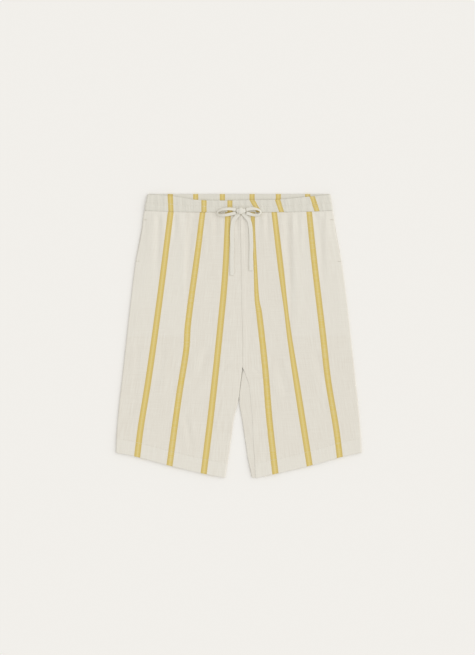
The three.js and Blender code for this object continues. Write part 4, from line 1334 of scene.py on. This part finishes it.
class SHORTS_OT_sewing(bpy.types.Operator):
    """Sew the hems, the waistband and the ends of the pocket mouths."""

    bl_idname = "shorts.sewing"
    bl_label = "Sewing"

    def execute(self, context):
        thread = sizes().thread
        spacing = sizes().stitch
        round_stitch = model_stitch(spacing * STITCH_SHARE, thread)
        points, faces = round_stitch
        flat_stitch = (points * (1, 1, 0.45), faces)
        for leg in (LEFT, RIGHT):
            side = leg.name.title()
            for is_front in (True, False):
                half = "Front" if is_front else "Back"
                way = -1 if (leg is LEFT) == is_front else 1
                lift = CLOTH / 2 if is_front else CLOTH / 2 - 0.00022
                line = stitch_line(
                    lambda u, v, leg=leg, is_front=is_front: panel_point(leg, is_front, u, v),
                    OUTER_SHARE, 0.9, 1.0, way, lift, spacing,
                )
                sew(f"Hem_Stitches_{half}_{side}", round_stitch if is_front else flat_stitch, *line)
            self.bartacks(leg, thread)
        for name, start, end, stitch, sink in (
            ("Waistband_Stitches_Front", BAND_FRONT_START, BAND_FRONT_END, round_stitch, 0.0),
            ("Waistband_Stitches_Back", 0.004, BAND_BACK_END, flat_stitch, 0.0001),
        ):
            line = stitch_line(lambda u, v: band_point(u, v)[:1], start, end, BAND_STITCH_AT,
                               -1, BAND / 2 * 0.78 - sink, spacing)
            sew(name, stitch, *line)
        deselect()
        return {"FINISHED"}

    def bartacks(self, leg, thread):
        stitch = model_stitch(BARTACK_STITCH, thread)
        places = []
        for middle in BARTACK_DROPS:
            for i in range(BARTACK_STITCHES):
                along = (i / (BARTACK_STITCHES - 1) - 0.5) * BARTACK_LENGTH
                x = leg.outer(middle) + leg.inward * (BARTACK_INSET + along)
                zigzag = 0.0002 * (-1) ** i
                drop = np.array([middle + zigzag])
                z = front_height(np.array([x]), drop, drop - seam_drop(0), np.array([0.3]),
                                 np.array([max(BARTACK_INSET + along - 0.002, 0)]))
                places.append((float(x), LENGTH / 2 - float(drop[0]), float(z[0]) + CLOTH / 2))
        places = np.array(places)
        directions = np.tile((0.0, 1.0, 0.0), (len(places), 1))
        normals = np.tile((0.0, 0.0, 1.0), (len(places), 1))
        sew(f"Pocket_Bartacks_{leg.name.title()}", stitch, places, directions, normals)


class SHORTS_PT_panel(bpy.types.Panel):
    """Steps that dress the shorts, in order."""

    bl_idname = "SHORTS_PT_panel"
    bl_label = "Bermuda shorts"
    bl_space_type = "VIEW_3D"
    bl_region_type = "UI"
    bl_category = "Shorts"

    def draw(self, context):
        for operator in STEPS:
            self.layout.operator(operator.bl_idname)


STEPS = (
    SHORTS_OT_studio,
    SHORTS_OT_drawstring,
    SHORTS_OT_legs,
    SHORTS_OT_waistband,
    SHORTS_OT_pockets,
    SHORTS_OT_sewing,
)
CLASSES = (ShortsSizes, ShortsColours, *STEPS, SHORTS_PT_panel)


def register():
    for cls in CLASSES:
        bpy.utils.register_class(cls)
    bpy.types.Scene.shorts_sizes = bpy.props.PointerProperty(type=ShortsSizes)
    bpy.types.Scene.shorts_colours = bpy.props.PointerProperty(type=ShortsColours)


def unregister():
    del bpy.types.Scene.shorts_colours
    del bpy.types.Scene.shorts_sizes
    for cls in reversed(CLASSES):
        bpy.utils.unregister_class(cls)


def main():
    register()
    bpy.ops.shorts.studio()
    bpy.ops.shorts.drawstring()
    bpy.ops.shorts.legs()
    bpy.ops.shorts.waistband()
    bpy.ops.shorts.pockets()
    bpy.ops.shorts.sewing()
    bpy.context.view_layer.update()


if __name__ == "__main__":
    main()
